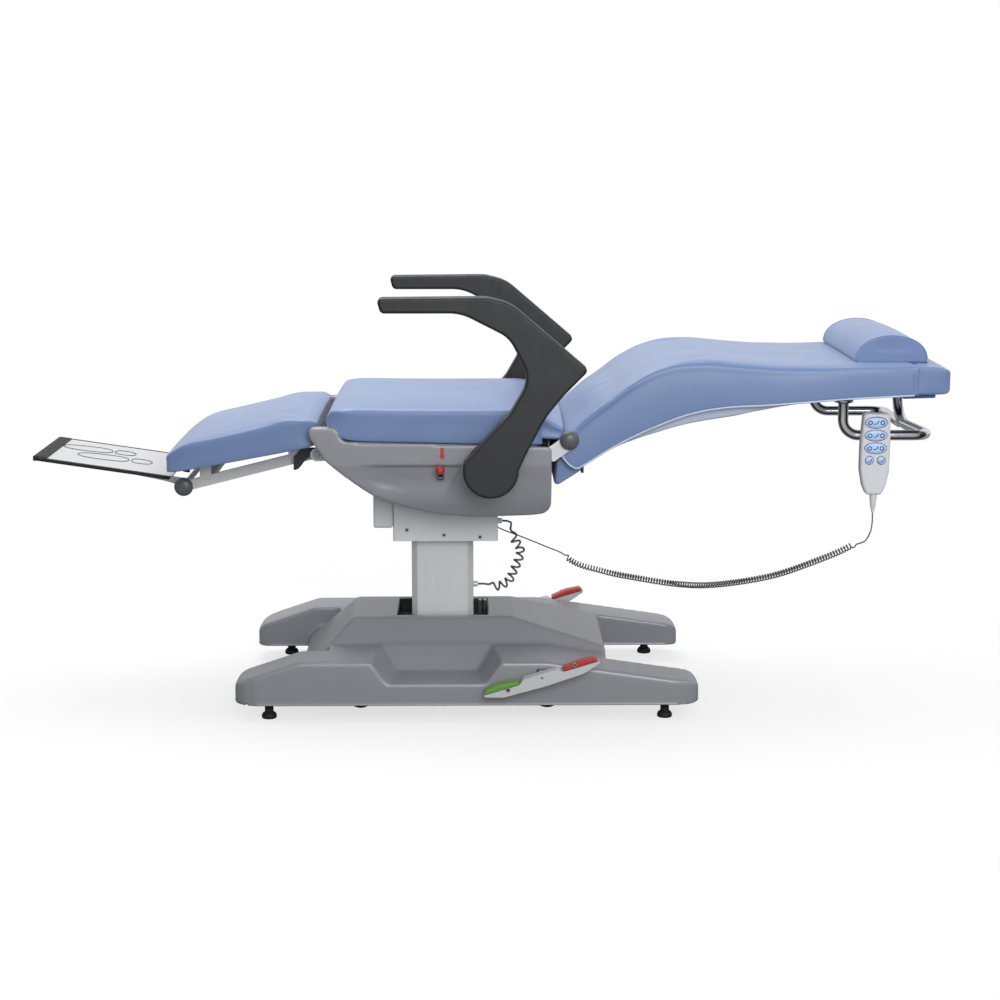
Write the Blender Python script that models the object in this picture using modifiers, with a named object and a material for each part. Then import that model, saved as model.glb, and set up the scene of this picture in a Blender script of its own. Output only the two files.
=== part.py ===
"""Examination chair for ear, nose and throat rooms: a lifting column on a wheeled base, a swivelling seat
with folding armrests, a reclining back, a leg rest with a foot plate, and a hand control on a curly cord.

The model frame has +X towards the head end, -Y towards the patient's left and +Z up. Shapes are laid out
from the column's axis at X = 0, and the root empty then centres the finished chair over its own footprint.
"""

import math

import bmesh
import bpy
from mathutils import Matrix, Vector

# Gaps
SEAT_GAP = 0.0003          # between pieces that touch
RUN_GAP = 0.0012           # between pieces that move past each other without touching
AXLE_GAP = 0.0005          # between an axle, stud or post and its hole

# Base cover
COVER_FOOT = 0.436         # column axis to the cover's foot end
COVER_HEAD = 0.544         # column axis to the cover's head end
COVER_HALF_WIDTH = 0.305
COVER_BOTTOM = 0.034
COVER_WALL = 0.004
LEG_WIDTH = 0.105
LEG_TOP = 0.129
LEG_TIP = 0.082            # height of a leg where it ends
LEG_LEVEL_FOOT = 0.297     # where the level top starts to fall, towards the foot
LEG_LEVEL_HEAD = 0.217
LEG_CORNER = 0.046         # plan radius of a leg's outer corner
RIDGE_TOP = 0.178
RIDGE_HALF_WIDTH = 0.100
RIDGE_FLARE = 0.045        # how far the ridge's side leans out on its way down to the legs
RIDGE_FOOT = 0.195         # column axis to the ridge's foot edge
RIDGE_HEAD = 0.150
NOTCH_FOOT = 0.312         # column axis to the bottom of the foot slope
NOTCH_HEAD = 0.353
NOTCH_LIP = 0.060          # height at which the foot slope ends
SCOOP_FLOOR = 0.082
SCOOP_FOOT = 0.150         # column axis to the scoop's foot rim
SCOOP_HEAD = 0.130
SCOOP_SLANT = 0.034        # run of the scoop's end walls
SCOOP_REACH = 0.150        # how near the scoop's rim comes to the centre line
WELL_HALF_LENGTH = 0.100   # opening in the cover round the column
WELL_HALF_WIDTH = 0.085
COVER_ROUND = 0.010
PAST = 0.010               # how far a cutting shape reaches past what it cuts

# Base frame, feet and castors
FOOT_X_FOOT = -0.364
FOOT_X_HEAD = 0.472
FOOT_Y = 0.268
FOOT_PAD_R = 0.016
FOOT_PAD_H = 0.012
FOOT_STUD_R = 0.006
FOOT_TRAVEL = 0.010
COLLAR_LAP = 0.006         # how far the frame's collar reaches under the edge of the cover's well
COLLAR_FLOOR = 0.150
RAIL_BOTTOM = 0.091
RAIL_HEIGHT = 0.022
RAIL_WIDTH = 0.036
RAIL_DROP = 0.031          # the foot rails hang this far below the cross beams, under the legs' falling tips
BEAM_FOOT_X = -0.190       # cross beams of the frame
BEAM_HEAD_X = 0.262
CASTOR_FOOT_X = -0.190
CASTOR_HEAD_X = 0.209
CASTOR_Y = 0.196
WHEEL_R = 0.030
WHEEL_WIDTH = 0.013
WHEEL_LIFT = 0.004         # wheels clear the floor by this while the feet carry the chair
CASTOR_TRAIL = 0.016
FORK_WEB = 0.012
AXLE_R = 0.005
STEM_R = 0.006
GUIDE_HEAD = 0.004         # how far the head of a guide post stands out round it
STEEL_TIE = 0.110          # half the width of the plate under the column
CARRIAGE_BOTTOM = 0.0745
CARRIAGE_PLATE = 0.008
CARRIAGE_BEAM = 0.062      # width of the castor carriage's cross beams
CARRIAGE_TRAVEL = 0.007
GUIDE_R = 0.007
GUIDE_Y = 0.058

# Brake rocker
ROCKER_X = 0.209
ROCKER_Z = 0.103
ROCKER_TILT = math.radians(17.0)
ROCKER_LENGTH = 0.250
ROCKER_HEIGHT = 0.030
ROCKER_WIDTH = 0.026
ROCKER_SHAFT_R = 0.008
ROCKER_OFFSET = 0.010      # from the cover's side to the bar
PAD_LENGTH = 0.078
PAD_HEIGHT = 0.009
CAM_R = 0.016
CAM_WIDTH = 0.012
CAM_Y = 0.118
CAM_PAD = 0.011            # half the length of the pad each cam presses on

# Column and lift
COLUMN_SIDE = 0.135
COLUMN_WALL = 0.004
COLUMN_CHAMFER = 0.012
COLUMN_FOOT = 0.110
COLUMN_TOP = 0.343
STAGE_STEP = 0.0005        # play between one column stage and the next
STAGE_LAP = 0.014          # how far each stage's foot stands above the one outside it
LIFT_TRAVEL = 0.250
HEAD_BOTTOM = 0.345
HEAD_TOP = 0.432
HEAD_FOOT = 0.106          # column axis to the lift head's foot side
HEAD_HEAD = 0.121
HEAD_HALF_WIDTH = 0.100
HEAD_WALL = 0.003
BOX_LENGTH = 0.042         # control box on the head's foot side
BOX_BOTTOM = 0.374
BOX_TOP = 0.448
BEARING_R = 0.084
BEARING_HEIGHT = 0.018
GLAND_R = 0.0062
GLAND_LENGTH = 0.010
SUPPLY_Z = 0.228           # where the supply cord leaves the column
LEAD_TOP_Z = 0.371         # where it enters the lift head

# Seat
SHELL_HALF_WIDTH = 0.272
SHELL_WALL = 0.004
SHELL_FRONT = -0.266       # tips of the cheeks beside the leg rest
SHELL_MID_FRONT = -0.241   # front wall between the cheeks
SHELL_REAR = 0.231
SHELL_RIM = 0.588
SHELL_LIP = 0.618
SHELL_BOTTOM = 0.433
SHELL_CREASE = 0.540       # below this the sides draw in
SHELL_TUCK = 0.022         # how far the sides draw in
SHELL_ROUND = 0.008
CHEEK_GAP = 0.005          # from the leg rest's cushion to the cheeks
PAN_THICK = 0.010
PAN_INSET = 0.026          # from the shell's side to the pan's edge
PAN_HALF_WIDTH = SHELL_HALF_WIDTH - PAN_INSET
PAN_FRONT = -0.205
PEDESTAL_R = 0.074
SEAT_BEHIND = 0.004        # from the shell's front wall to the cushion's front
SEAT_FRONT = SHELL_MID_FRONT + SEAT_BEHIND
SEAT_SHORT = 0.019         # from the cushion's rear to the shell's
SEAT_REAR = SHELL_REAR - SEAT_SHORT
SEAT_THICK = 0.066         # from the shell's rim to the cushion's upper seam
SEAT_CREASE = SHELL_RIM + SEAT_THICK
SEAT_INSET = 0.006         # from the shell's side to the cushion's
SEAT_HALF_WIDTH = SHELL_HALF_WIDTH - SEAT_INSET
CROWN = 0.008             # rise of a cushion's middle over its seam
CROWN_KNEE = 0.55          # share of the half width out to which the top is nearly level
CROWN_SHARE = 0.72         # share of the rise left there
DRAW_IN = 0.006            # how far a cushion's side draws in between its seams
LEVER_Z = 0.531
LEVER_KNOB_R = 0.0095
LEVER_STEM_R = 0.0035
LEVER_TRAVEL = 0.012

# Armrests
ARM_STAND = 0.024          # from the seat shell's side to the armrest's inner face
ARM_INNER = SHELL_HALF_WIDTH + ARM_STAND
ARM_THICK = 0.046
ARM_HUB_X = 0.104
ARM_HUB_Z = 0.538
ARM_HUB_R = 0.057
ARM_TOP = 0.890
ARM_TIP = -0.126
ARM_ROUND = 0.006

# Back
BACK_BEHIND = 0.036        # from the shell's rear to the hinge axis
BACK_AXIS_X = SHELL_REAR + BACK_BEHIND
BACK_RISE = 0.003          # from the shell's rim to the hinge axis
BACK_AXIS_Z = SHELL_RIM + BACK_RISE
BACK_AXLE_R = 0.009
BACK_STUB_R = 0.007        # the axle's ends, in the brackets
BACK_HALF_WIDTH = 0.256
BACK_LENGTH = 0.721        # from the hinge axis to the cushion's head end
BACK_END = BACK_AXIS_X + BACK_LENGTH
BRACKET_THICK = 0.008
BRACKET_INNER = SHELL_HALF_WIDTH - 0.0135     # inside the shell's side
FLAP_TOP = 0.024           # drop from the hinge axis to the flap's upper edge
FLAP_DROP = 0.118          # drop to its lower end
FLAP_LEAN = 0.026          # how far its lower end leans towards the seat
FLAP_THICK = 0.014
KNOB_R = 0.020
KNOB_HEIGHT = 0.015
HOOD_LENGTH = 0.068
PILLOW_ALONG = 0.600       # from the hinge axis to the pillow's lower edge
PILLOW_LENGTH = 0.150
PILLOW_FOOT = BACK_AXIS_X + PILLOW_ALONG
PILLOW_HEAD = PILLOW_FOOT + PILLOW_LENGTH
PILLOW_HEIGHT = 0.052
PILLOW_HALF_WIDTH = 0.200
PILLOW_GAP = 0.0006        # between the pillow and the crowned cushion under it
BAR_R = 0.011              # push bar's tube
BAR_ALONG = 0.579          # from the hinge axis to the bar's posts
BAR_X = BACK_AXIS_X + BAR_ALONG
BAR_Y = 0.190
BAR_DROP = 0.002           # from the hinge axis down to the bar
BAR_Z = BACK_AXIS_Z - BAR_DROP
BAR_REACH = 0.195          # from the posts to the far side of the grip
BAR_END = BAR_X + BAR_REACH
BAR_BEND = 0.034
FLANGE_R = 0.020
FLANGE_HEIGHT = 0.005

# Hand control
HAND_ALONG = 0.064         # from the bar's posts to the control
HAND_X = BAR_X + HAND_ALONG
HAND_RISE = 0.052          # the control's top stands this far over the bar that it hangs on
HAND_TOP = BAR_Z + HAND_RISE
HAND_LENGTH = 0.169
HAND_WIDTH = 0.060
HAND_TAIL = 0.036          # width at the cord's end
HAND_NECK = 0.045          # length of the taper
HAND_THICK = 0.022
HOOK_WALL = 0.004
HOOK_HALF_WIDTH = 0.014
KEY_LENGTH = 0.044         # oval rocker keys
KEY_HEIGHT = 0.021
KEY_PITCH = 0.0270
KEY_TOP = 0.0205           # from the control's top to the first key's centre
KEY_STAND = 0.002
KEY_POCKET = 0.005         # depth of the pocket a key sits in
KEY_ROOT = 0.0032          # depth of the key in its pocket
KEY_PLAY = 0.0006
PUSH_KEY_R = 0.0075
BOOT_LENGTH = 0.044
BOOT_R = 0.0075

# Leg rest and foot plate
LEG_BEHIND = 0.004         # from the tips of the shell's cheeks to the hinge axis
LEG_AXIS_X = SHELL_FRONT + LEG_BEHIND
LEG_BELOW = 0.040          # from the shell's rim down to the hinge axis
LEG_AXIS_Z = SHELL_RIM - LEG_BELOW
LEG_AXLE_R = 0.008
LEG_BAR_Y = 0.150
LEG_BAR_HEIGHT = 0.022
LEG_BAR_THICK = 0.008
POST_HALF = 0.012          # half the length of the posts under the leg rest's cushion
LEG_REACH = 0.311          # from the hinge axis to the cushion's foot end
LEG_FRONT = LEG_AXIS_X - LEG_REACH
LEG_OVER = 0.005           # how far the cushion reaches back over the hinge axis
LEG_REAR = LEG_AXIS_X + LEG_OVER
LEG_HALF_WIDTH = 0.236
LEG_BAR_RUN = 0.286        # from the leg rest's hinge to the foot plate's, level
LEG_BAR_FALL = 0.072       # and down
STEP_AXIS_X = LEG_AXIS_X - LEG_BAR_RUN
STEP_AXIS_Z = LEG_AXIS_Z - LEG_BAR_FALL
STEP_AXLE_R = 0.006
STEP_TILT = math.radians(8.4)
STEP_LENGTH = 0.296
STEP_HALF_WIDTH = 0.145
STEP_THICK = 0.004
STEP_RISE = 0.011          # from the hinge axis to the underside of the plate
STEP_NEAR = 0.030          # from the hinge axis to the plate's near edge
STEP_ARM_LENGTH = 0.190    # brackets under the plate
STEP_ARM_KNEE = 0.050
STEP_ARM_DEEP = 0.012
STEP_ARM_INSET = 0.040     # from the leg rest's bars
STEP_ARM_THICK = 0.006
STEP_EYE = 0.009
RIM_WIDTH = 0.010
RIM_HEIGHT = 0.009

# Cords
CORD_R = 0.0015
CORD_COIL_R = 0.0058       # hand control cord: coil axis to wire axis
CORD_CURLS = 34
LEAD_R = 0.0018
LEAD_COIL_R = 0.0085
LEAD_CURLS = 8
CURL_POINTS = 8

# Sides of round pieces
ROUND_STEPS = 14
HIDDEN_STEPS = 8           # small ones that hardly show
KEY_STEPS = 16

for old in list(bpy.data.objects):
    bpy.data.objects.remove(old)

scene = bpy.context.scene
chair = bpy.data.collections.new("ent_chair")
cutters = bpy.data.collections.new("cutters")
scene.collection.children.link(chair)
scene.collection.children.link(cutters)


def make_material(name, colour, roughness, metallic):
    """A plain surface: linear colour, roughness and metal."""
    mat = bpy.data.materials.new(name)
    mat.use_nodes = True
    shader = mat.node_tree.nodes["Principled BSDF"]
    shader.inputs["Base Color"].default_value = (*colour, 1.0)
    shader.inputs["Roughness"].default_value = roughness
    shader.inputs["Metallic"].default_value = metallic
    return mat


BLUE = make_material("blue upholstery", (0.22, 0.32, 0.56), 0.5, 0.0)
GREY = make_material("grey moulded cover", (0.22, 0.23, 0.26), 0.4, 0.2)
WHITE = make_material("white sheet metal", (0.64, 0.64, 0.67), 0.4, 0.0)
ALUMINIUM = make_material("anodised aluminium", (0.55, 0.56, 0.57), 0.35, 0.9)
STEEL = make_material("black painted steel", (0.03, 0.03, 0.03), 0.5, 0.3)
BLACK = make_material("black plastic", (0.028, 0.029, 0.031), 0.45, 0.0)
RUBBER = make_material("black rubber", (0.012, 0.012, 0.013), 0.8, 0.0)
CHROME = make_material("chromed tube", (0.75, 0.76, 0.78), 0.1, 1.0)
RED = make_material("red plastic", (0.50, 0.03, 0.03), 0.45, 0.0)
GREEN = make_material("green plastic", (0.10, 0.32, 0.05), 0.45, 0.0)
PALE = make_material("pale grey plastic", (0.61, 0.64, 0.68), 0.4, 0.0)
KEY_BLUE = make_material("light blue keys", (0.40, 0.62, 0.85), 0.5, 0.0)
CORD_GREY = make_material("grey cord", (0.20, 0.20, 0.21), 0.55, 0.0)

bodies = {}


def make_body(name, at, parent=None):
    """An empty on a body's joint axis. Positions are from the column's axis."""
    empty = bpy.data.objects.new(name, None)
    chair.objects.link(empty)
    at = Vector(at)
    empty["at"] = at
    if parent:
        empty.parent = bodies[parent]
        empty.location = at - Vector(bodies[parent]["at"])
    else:
        empty.location = at
    bodies[name] = empty


def add_part(name, obj, mat, body, smooth=0.0):
    """Name a finished shape as a node of the body that carries it."""
    obj.name = name
    obj.data.name = name
    obj.data.materials.clear()
    obj.data.materials.append(mat)
    obj.data.transform(Matrix.Translation(-Vector(bodies[body]["at"])))
    obj.parent = bodies[body]
    cutters.objects.unlink(obj)
    chair.objects.link(obj)
    obj.hide_render = False
    obj.display_type = "TEXTURED"
    if smooth:
        obj.data.shade_smooth()
        obj.data.set_sharp_from_angle(angle=math.radians(smooth))
    return obj


def as_shape(bm, turn_out=True):
    """A bmesh made into a working object, its faces turned out unless a cut has set them."""
    if turn_out:
        bmesh.ops.recalc_face_normals(bm, faces=bm.faces[:])
    mesh = bpy.data.meshes.new("shape")
    bm.to_mesh(mesh)
    bm.free()
    obj = bpy.data.objects.new("shape", mesh)
    obj.hide_render = True
    obj.display_type = "WIRE"
    cutters.objects.link(obj)
    return obj


def bake(obj, turn_out=True):
    """The object's evaluated shape as a plain mesh object, with its placement applied."""
    bpy.context.view_layer.update()
    depsgraph = bpy.context.evaluated_depsgraph_get()
    mesh = bpy.data.meshes.new_from_object(obj.evaluated_get(depsgraph))
    mesh.transform(obj.matrix_world)
    bm = bmesh.new()
    bm.from_mesh(mesh)
    bmesh.ops.remove_doubles(bm, verts=bm.verts[:], dist=1e-6)
    bpy.data.meshes.remove(mesh)
    return as_shape(bm, turn_out)


def measured(obj):
    """A shape's volume, or nothing if it has an open edge."""
    bm = bmesh.new()
    bm.from_mesh(obj.data)
    shut = all(len(e.link_faces) == 2 for e in bm.edges)
    volume = bm.calc_volume(signed=True)
    bm.free()
    return volume if shut and volume > 0 else None


def combine(obj, other, operation):
    """Union, difference or intersection of two closed shapes, which uses both up.

    The exact solver now and then drops a piece where faces nearly meet, so its result is measured and the
    manifold solver is used if the volume can't be right.
    """
    mine = measured(obj)
    theirs = measured(other)
    limits = {"UNION": (max(mine, theirs), mine + theirs), "DIFFERENCE": (mine - theirs, mine),
              "INTERSECT": (0.0, min(mine, theirs))}[operation]
    for solver in ("EXACT", "MANIFOLD"):
        mod = obj.modifiers.new("combine", "BOOLEAN")
        mod.operation = operation
        mod.solver = solver
        mod.object = other
        result = bake(obj, False)
        volume = measured(result)
        if volume and limits[0] * 0.999 <= volume <= limits[1] * 1.001:
            break
        obj.modifiers.remove(mod)
        bpy.data.objects.remove(result)
        print("the exact solver failed on a", operation.lower())
    bpy.data.objects.remove(obj)
    bpy.data.objects.remove(other)
    return result


def union(obj, *others):
    for other in others:
        obj = combine(obj, other, "UNION")
    return obj


def cut(obj, *others):
    for other in others:
        obj = combine(obj, other, "DIFFERENCE")
    return obj


def box(low, high):
    bm = bmesh.new()
    bmesh.ops.create_cube(bm, size=1.0)
    low = Vector(low)
    high = Vector(high)
    bmesh.ops.scale(bm, vec=high - low, verts=bm.verts)
    bmesh.ops.translate(bm, vec=(low + high) / 2, verts=bm.verts)
    return as_shape(bm)


def rod(start, end, radius, end_radius=None, steps=ROUND_STEPS):
    """A round bar or cone between two points."""
    start = Vector(start)
    end = Vector(end)
    bm = bmesh.new()
    bmesh.ops.create_cone(bm, cap_ends=True, segments=steps, radius1=radius,
                          radius2=radius if end_radius is None else end_radius,
                          depth=(end - start).length)
    turn = (end - start).to_track_quat("Z", "Y").to_matrix().to_4x4()
    bmesh.ops.transform(bm, matrix=Matrix.Translation((start + end) / 2) @ turn, verts=bm.verts)
    return as_shape(bm)


def hull(points):
    """The convex solid round a few corner points."""
    bm = bmesh.new()
    for p in points:
        bm.verts.new(p)
    bmesh.ops.convex_hull(bm, input=bm.verts[:])
    bmesh.ops.dissolve_limit(bm, angle_limit=math.radians(0.2), verts=bm.verts[:], edges=bm.edges[:])
    return as_shape(bm)


PLANES = {
    "X": Matrix(((0, 0, 1, 0), (1, 0, 0, 0), (0, 1, 0, 0), (0, 0, 0, 1))),
    "Y": Matrix(((1, 0, 0, 0), (0, 0, -1, 0), (0, 1, 0, 0), (0, 0, 0, 1))),
    "Z": Matrix.Identity(4),
}


def prism(outlines, axis, low, high):
    """Flat outlines, the first one solid and the rest holes, extruded along an axis from low to high."""
    curve = bpy.data.curves.new("outline", "CURVE")
    curve.dimensions = "2D"
    curve.fill_mode = "BOTH"
    curve.extrude = (high - low) / 2
    for points in outlines:
        spline = curve.splines.new("POLY")
        spline.points.add(len(points) - 1)
        for slot, (u, v) in zip(spline.points, points):
            slot.co = (u, v, 0.0, 1.0)
        spline.use_cyclic_u = True
    obj = bpy.data.objects.new("outline", curve)
    cutters.objects.link(obj)
    centre = {"X": (1, 0, 0), "Y": (0, 1, 0), "Z": (0, 0, 1)}[axis]
    obj.matrix_world = Matrix.Translation(Vector(centre) * (low + high) / 2) @ PLANES[axis]
    shape = bake(obj)
    bpy.data.objects.remove(obj)
    if len(outlines) == 1:
        bm = bmesh.new()
        bm.from_mesh(shape.data)
        bmesh.ops.dissolve_limit(bm, angle_limit=math.radians(0.2), verts=bm.verts[:], edges=bm.edges[:])
        bpy.data.objects.remove(shape)
        shape = as_shape(bm)
    return shape


def turned(profile, at, along, steps=ROUND_STEPS):
    """A profile of (radius, height) pairs, top to bottom, turned about an axis through a point."""
    mesh = bpy.data.meshes.new("profile")
    edges = [(i, i + 1) for i in range(len(profile) - 1)]
    mesh.from_pydata([(r, 0.0, h) for r, h in profile], edges, [])
    obj = bpy.data.objects.new("profile", mesh)
    cutters.objects.link(obj)
    turn = Vector(along).to_track_quat("Z", "Y").to_matrix().to_4x4()
    obj.matrix_world = Matrix.Translation(Vector(at)) @ turn
    mod = obj.modifiers.new("turn", "SCREW")
    mod.steps = steps
    mod.render_steps = steps
    mod.use_merge_vertices = True
    mod.merge_threshold = 1e-5
    shape = bake(obj)
    bpy.data.objects.remove(obj)
    return shape


def tube(points, radius, resolution=2):
    """A round tube with filled ends through a list of points."""
    curve = bpy.data.curves.new("path", "CURVE")
    curve.dimensions = "3D"
    curve.bevel_depth = radius
    curve.bevel_resolution = resolution
    curve.use_fill_caps = True
    spline = curve.splines.new("POLY")
    spline.points.add(len(points) - 1)
    for slot, p in zip(spline.points, points):
        slot.co = (*p, 1.0)
    obj = bpy.data.objects.new("path", curve)
    cutters.objects.link(obj)
    shape = bake(obj)
    bpy.data.objects.remove(obj)
    return shape


def loft(rings):
    """A skin over rings of equal counts of points, closed at both ends."""
    bm = bmesh.new()
    rows = [[bm.verts.new(p) for p in ring] for ring in rings]
    count = len(rings[0])
    for near, far in zip(rows, rows[1:]):
        for i in range(count):
            j = (i + 1) % count
            bm.faces.new((near[i], near[j], far[j], far[i]))
    bm.faces.new(rows[0][::-1])
    bm.faces.new(rows[-1])
    return as_shape(bm)


def bevelled(obj, width, segments, angle, keep=None):
    """Round the edges sharper than an angle. keep says which edges take part, from their two ends."""
    bm = bmesh.new()
    bm.from_mesh(obj.data)
    bpy.data.objects.remove(obj)
    sharp = math.radians(angle)
    edges = [e for e in bm.edges
             if len(e.link_faces) == 2 and e.calc_face_angle() > sharp
             and (keep is None or keep(e.verts[0].co, e.verts[1].co))]
    bmesh.ops.bevel(bm, geom=edges, offset=width, segments=segments, profile=0.5, affect="EDGES",
                    clamp_overlap=True)
    return as_shape(bm)


def rounded(corners, steps=3):
    """An outline whose corners (u, v, radius) are turned into arcs."""
    result = []
    count = len(corners)
    for i, (u, v, radius) in enumerate(corners):
        here = Vector((u, v))
        if radius <= 0:
            result.append((u, v))
            continue
        before = Vector(corners[i - 1][:2]) - here
        after = Vector(corners[(i + 1) % count][:2]) - here
        half = before.angle(after) / 2
        reach = min(radius / math.tan(half), before.length * 0.49, after.length * 0.49)
        radius = reach * math.tan(half)
        middle = here + (before.normalized() + after.normalized()).normalized() * (radius / math.sin(half))
        first = here + before.normalized() * reach - middle
        last = here + after.normalized() * reach - middle
        sweep = first.angle_signed(last)
        for k in range(steps + 1):
            spoke = first.copy()
            spoke.rotate(Matrix.Rotation(-sweep * k / steps, 2))
            result.append(tuple(middle + spoke))
    return result


def inset(points, distance):
    """A closed outline moved inwards by a distance, with mitred corners."""
    area = sum(a[0] * b[1] - b[0] * a[1] for a, b in zip(points, points[1:] + points[:1]))
    side = 1.0 if area > 0 else -1.0
    moved = []
    for i, p in enumerate(points):
        back = (Vector(p) - Vector(points[i - 1])).normalized()
        ahead = (Vector(points[(i + 1) % len(points)]) - Vector(p)).normalized()
        normal_back = Vector((-back.y, back.x)) * side
        normal_ahead = Vector((-ahead.y, ahead.x)) * side
        mitre = (normal_back + normal_ahead).normalized()
        moved.append(tuple(Vector(p) + mitre * (distance / max(mitre.dot(normal_back), 0.3))))
    return moved


def rectangle(u0, v0, u1, v1, radius):
    return rounded([(u0, v0, radius), (u1, v0, radius), (u1, v1, radius), (u0, v1, radius)])


def along(stations, x):
    """The height at x on a line through (x, height) stations, smoothed between them."""
    if x <= stations[0][0]:
        return stations[0][1]
    for i in range(len(stations) - 1):
        x0, z0 = stations[i]
        x1, z1 = stations[i + 1]
        if x <= x1:
            xa, za = stations[max(i - 1, 0)]
            xb, zb = stations[min(i + 2, len(stations) - 1)]
            slope0 = (z1 - za) / (x1 - xa)
            slope1 = (zb - z0) / (xb - x0)
            t = (x - x0) / (x1 - x0)
            span = x1 - x0
            return ((2 * t**3 - 3 * t**2 + 1) * z0 + (t**3 - 2 * t**2 + t) * span * slope0
                    + (3 * t**2 - 2 * t**3) * z1 + (t**3 - t**2) * span * slope1)
    return stations[-1][1]


def straight_along(stations, x):
    """The height at x on straight lines between (x, height) stations."""
    for (x0, z0), (x1, z1) in zip(stations, stations[1:]):
        if x <= x1:
            return z0 + (z1 - z0) * (x - x0) / (x1 - x0)
    return stations[-1][1]


def smooth_route(points, spacing):
    """Evenly spaced points on a smooth curve through a route's own points."""
    ends = [points[0] * 2 - points[1], *points, points[-1] * 2 - points[-2]]
    fine = []
    for a, b, c, d in zip(ends, ends[1:], ends[2:], ends[3:]):
        for k in range(40):
            t = k / 40
            fine.append(0.5 * (2 * b + (c - a) * t + (2 * a - 5 * b + 4 * c - d) * t * t
                               + (3 * b - a - 3 * c + d) * t**3))
    fine.append(points[-1])
    lengths = [0.0]
    for a, b in zip(fine, fine[1:]):
        lengths.append(lengths[-1] + (b - a).length)
    count = max(2, round(lengths[-1] / spacing))
    result = []
    k = 0
    for i in range(count + 1):
        want = lengths[-1] * i / count
        while k < len(fine) - 2 and lengths[k + 1] < want:
            k += 1
        t = (want - lengths[k]) / max(lengths[k + 1] - lengths[k], 1e-9)
        result.append(fine[k].lerp(fine[k + 1], min(max(t, 0.0), 1.0)))
    return result


def curls(axis_points, radius, count):
    """Points of a helix that winds round a route, starting and ending on the route itself."""
    steps = count * CURL_POINTS
    length = sum((b - a).length for a, b in zip(axis_points, axis_points[1:]))
    path = smooth_route(axis_points, length / steps)
    steps = len(path) - 1
    side = Vector((0, 1, 0))
    result = []
    for i, p in enumerate(path):
        forward = (path[min(i + 1, steps)] - path[max(i - 1, 0)]).normalized()
        side = (side - forward * side.dot(forward)).normalized()
        up = forward.cross(side)
        angle = 2 * math.pi * i / CURL_POINTS
        grow = min(1.0, i / CURL_POINTS, (steps - i) / CURL_POINTS)
        result.append(p + (side * math.cos(angle) + up * math.sin(angle)) * radius * grow)
    return result


def least_self_gap(points, radius, apart):
    """The least clear distance between stretches of a tube that are further apart than a length along it."""
    lengths = [0.0]
    for a, b in zip(points, points[1:]):
        lengths.append(lengths[-1] + (b - a).length)
    least = 1.0
    for i, p in enumerate(points):
        for j in range(i + 1, len(points)):
            if lengths[j] - lengths[i] > apart:
                least = min(least, (p - points[j]).length)
    return least - 2 * radius


make_body("base", (0, 0, 0))


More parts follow.
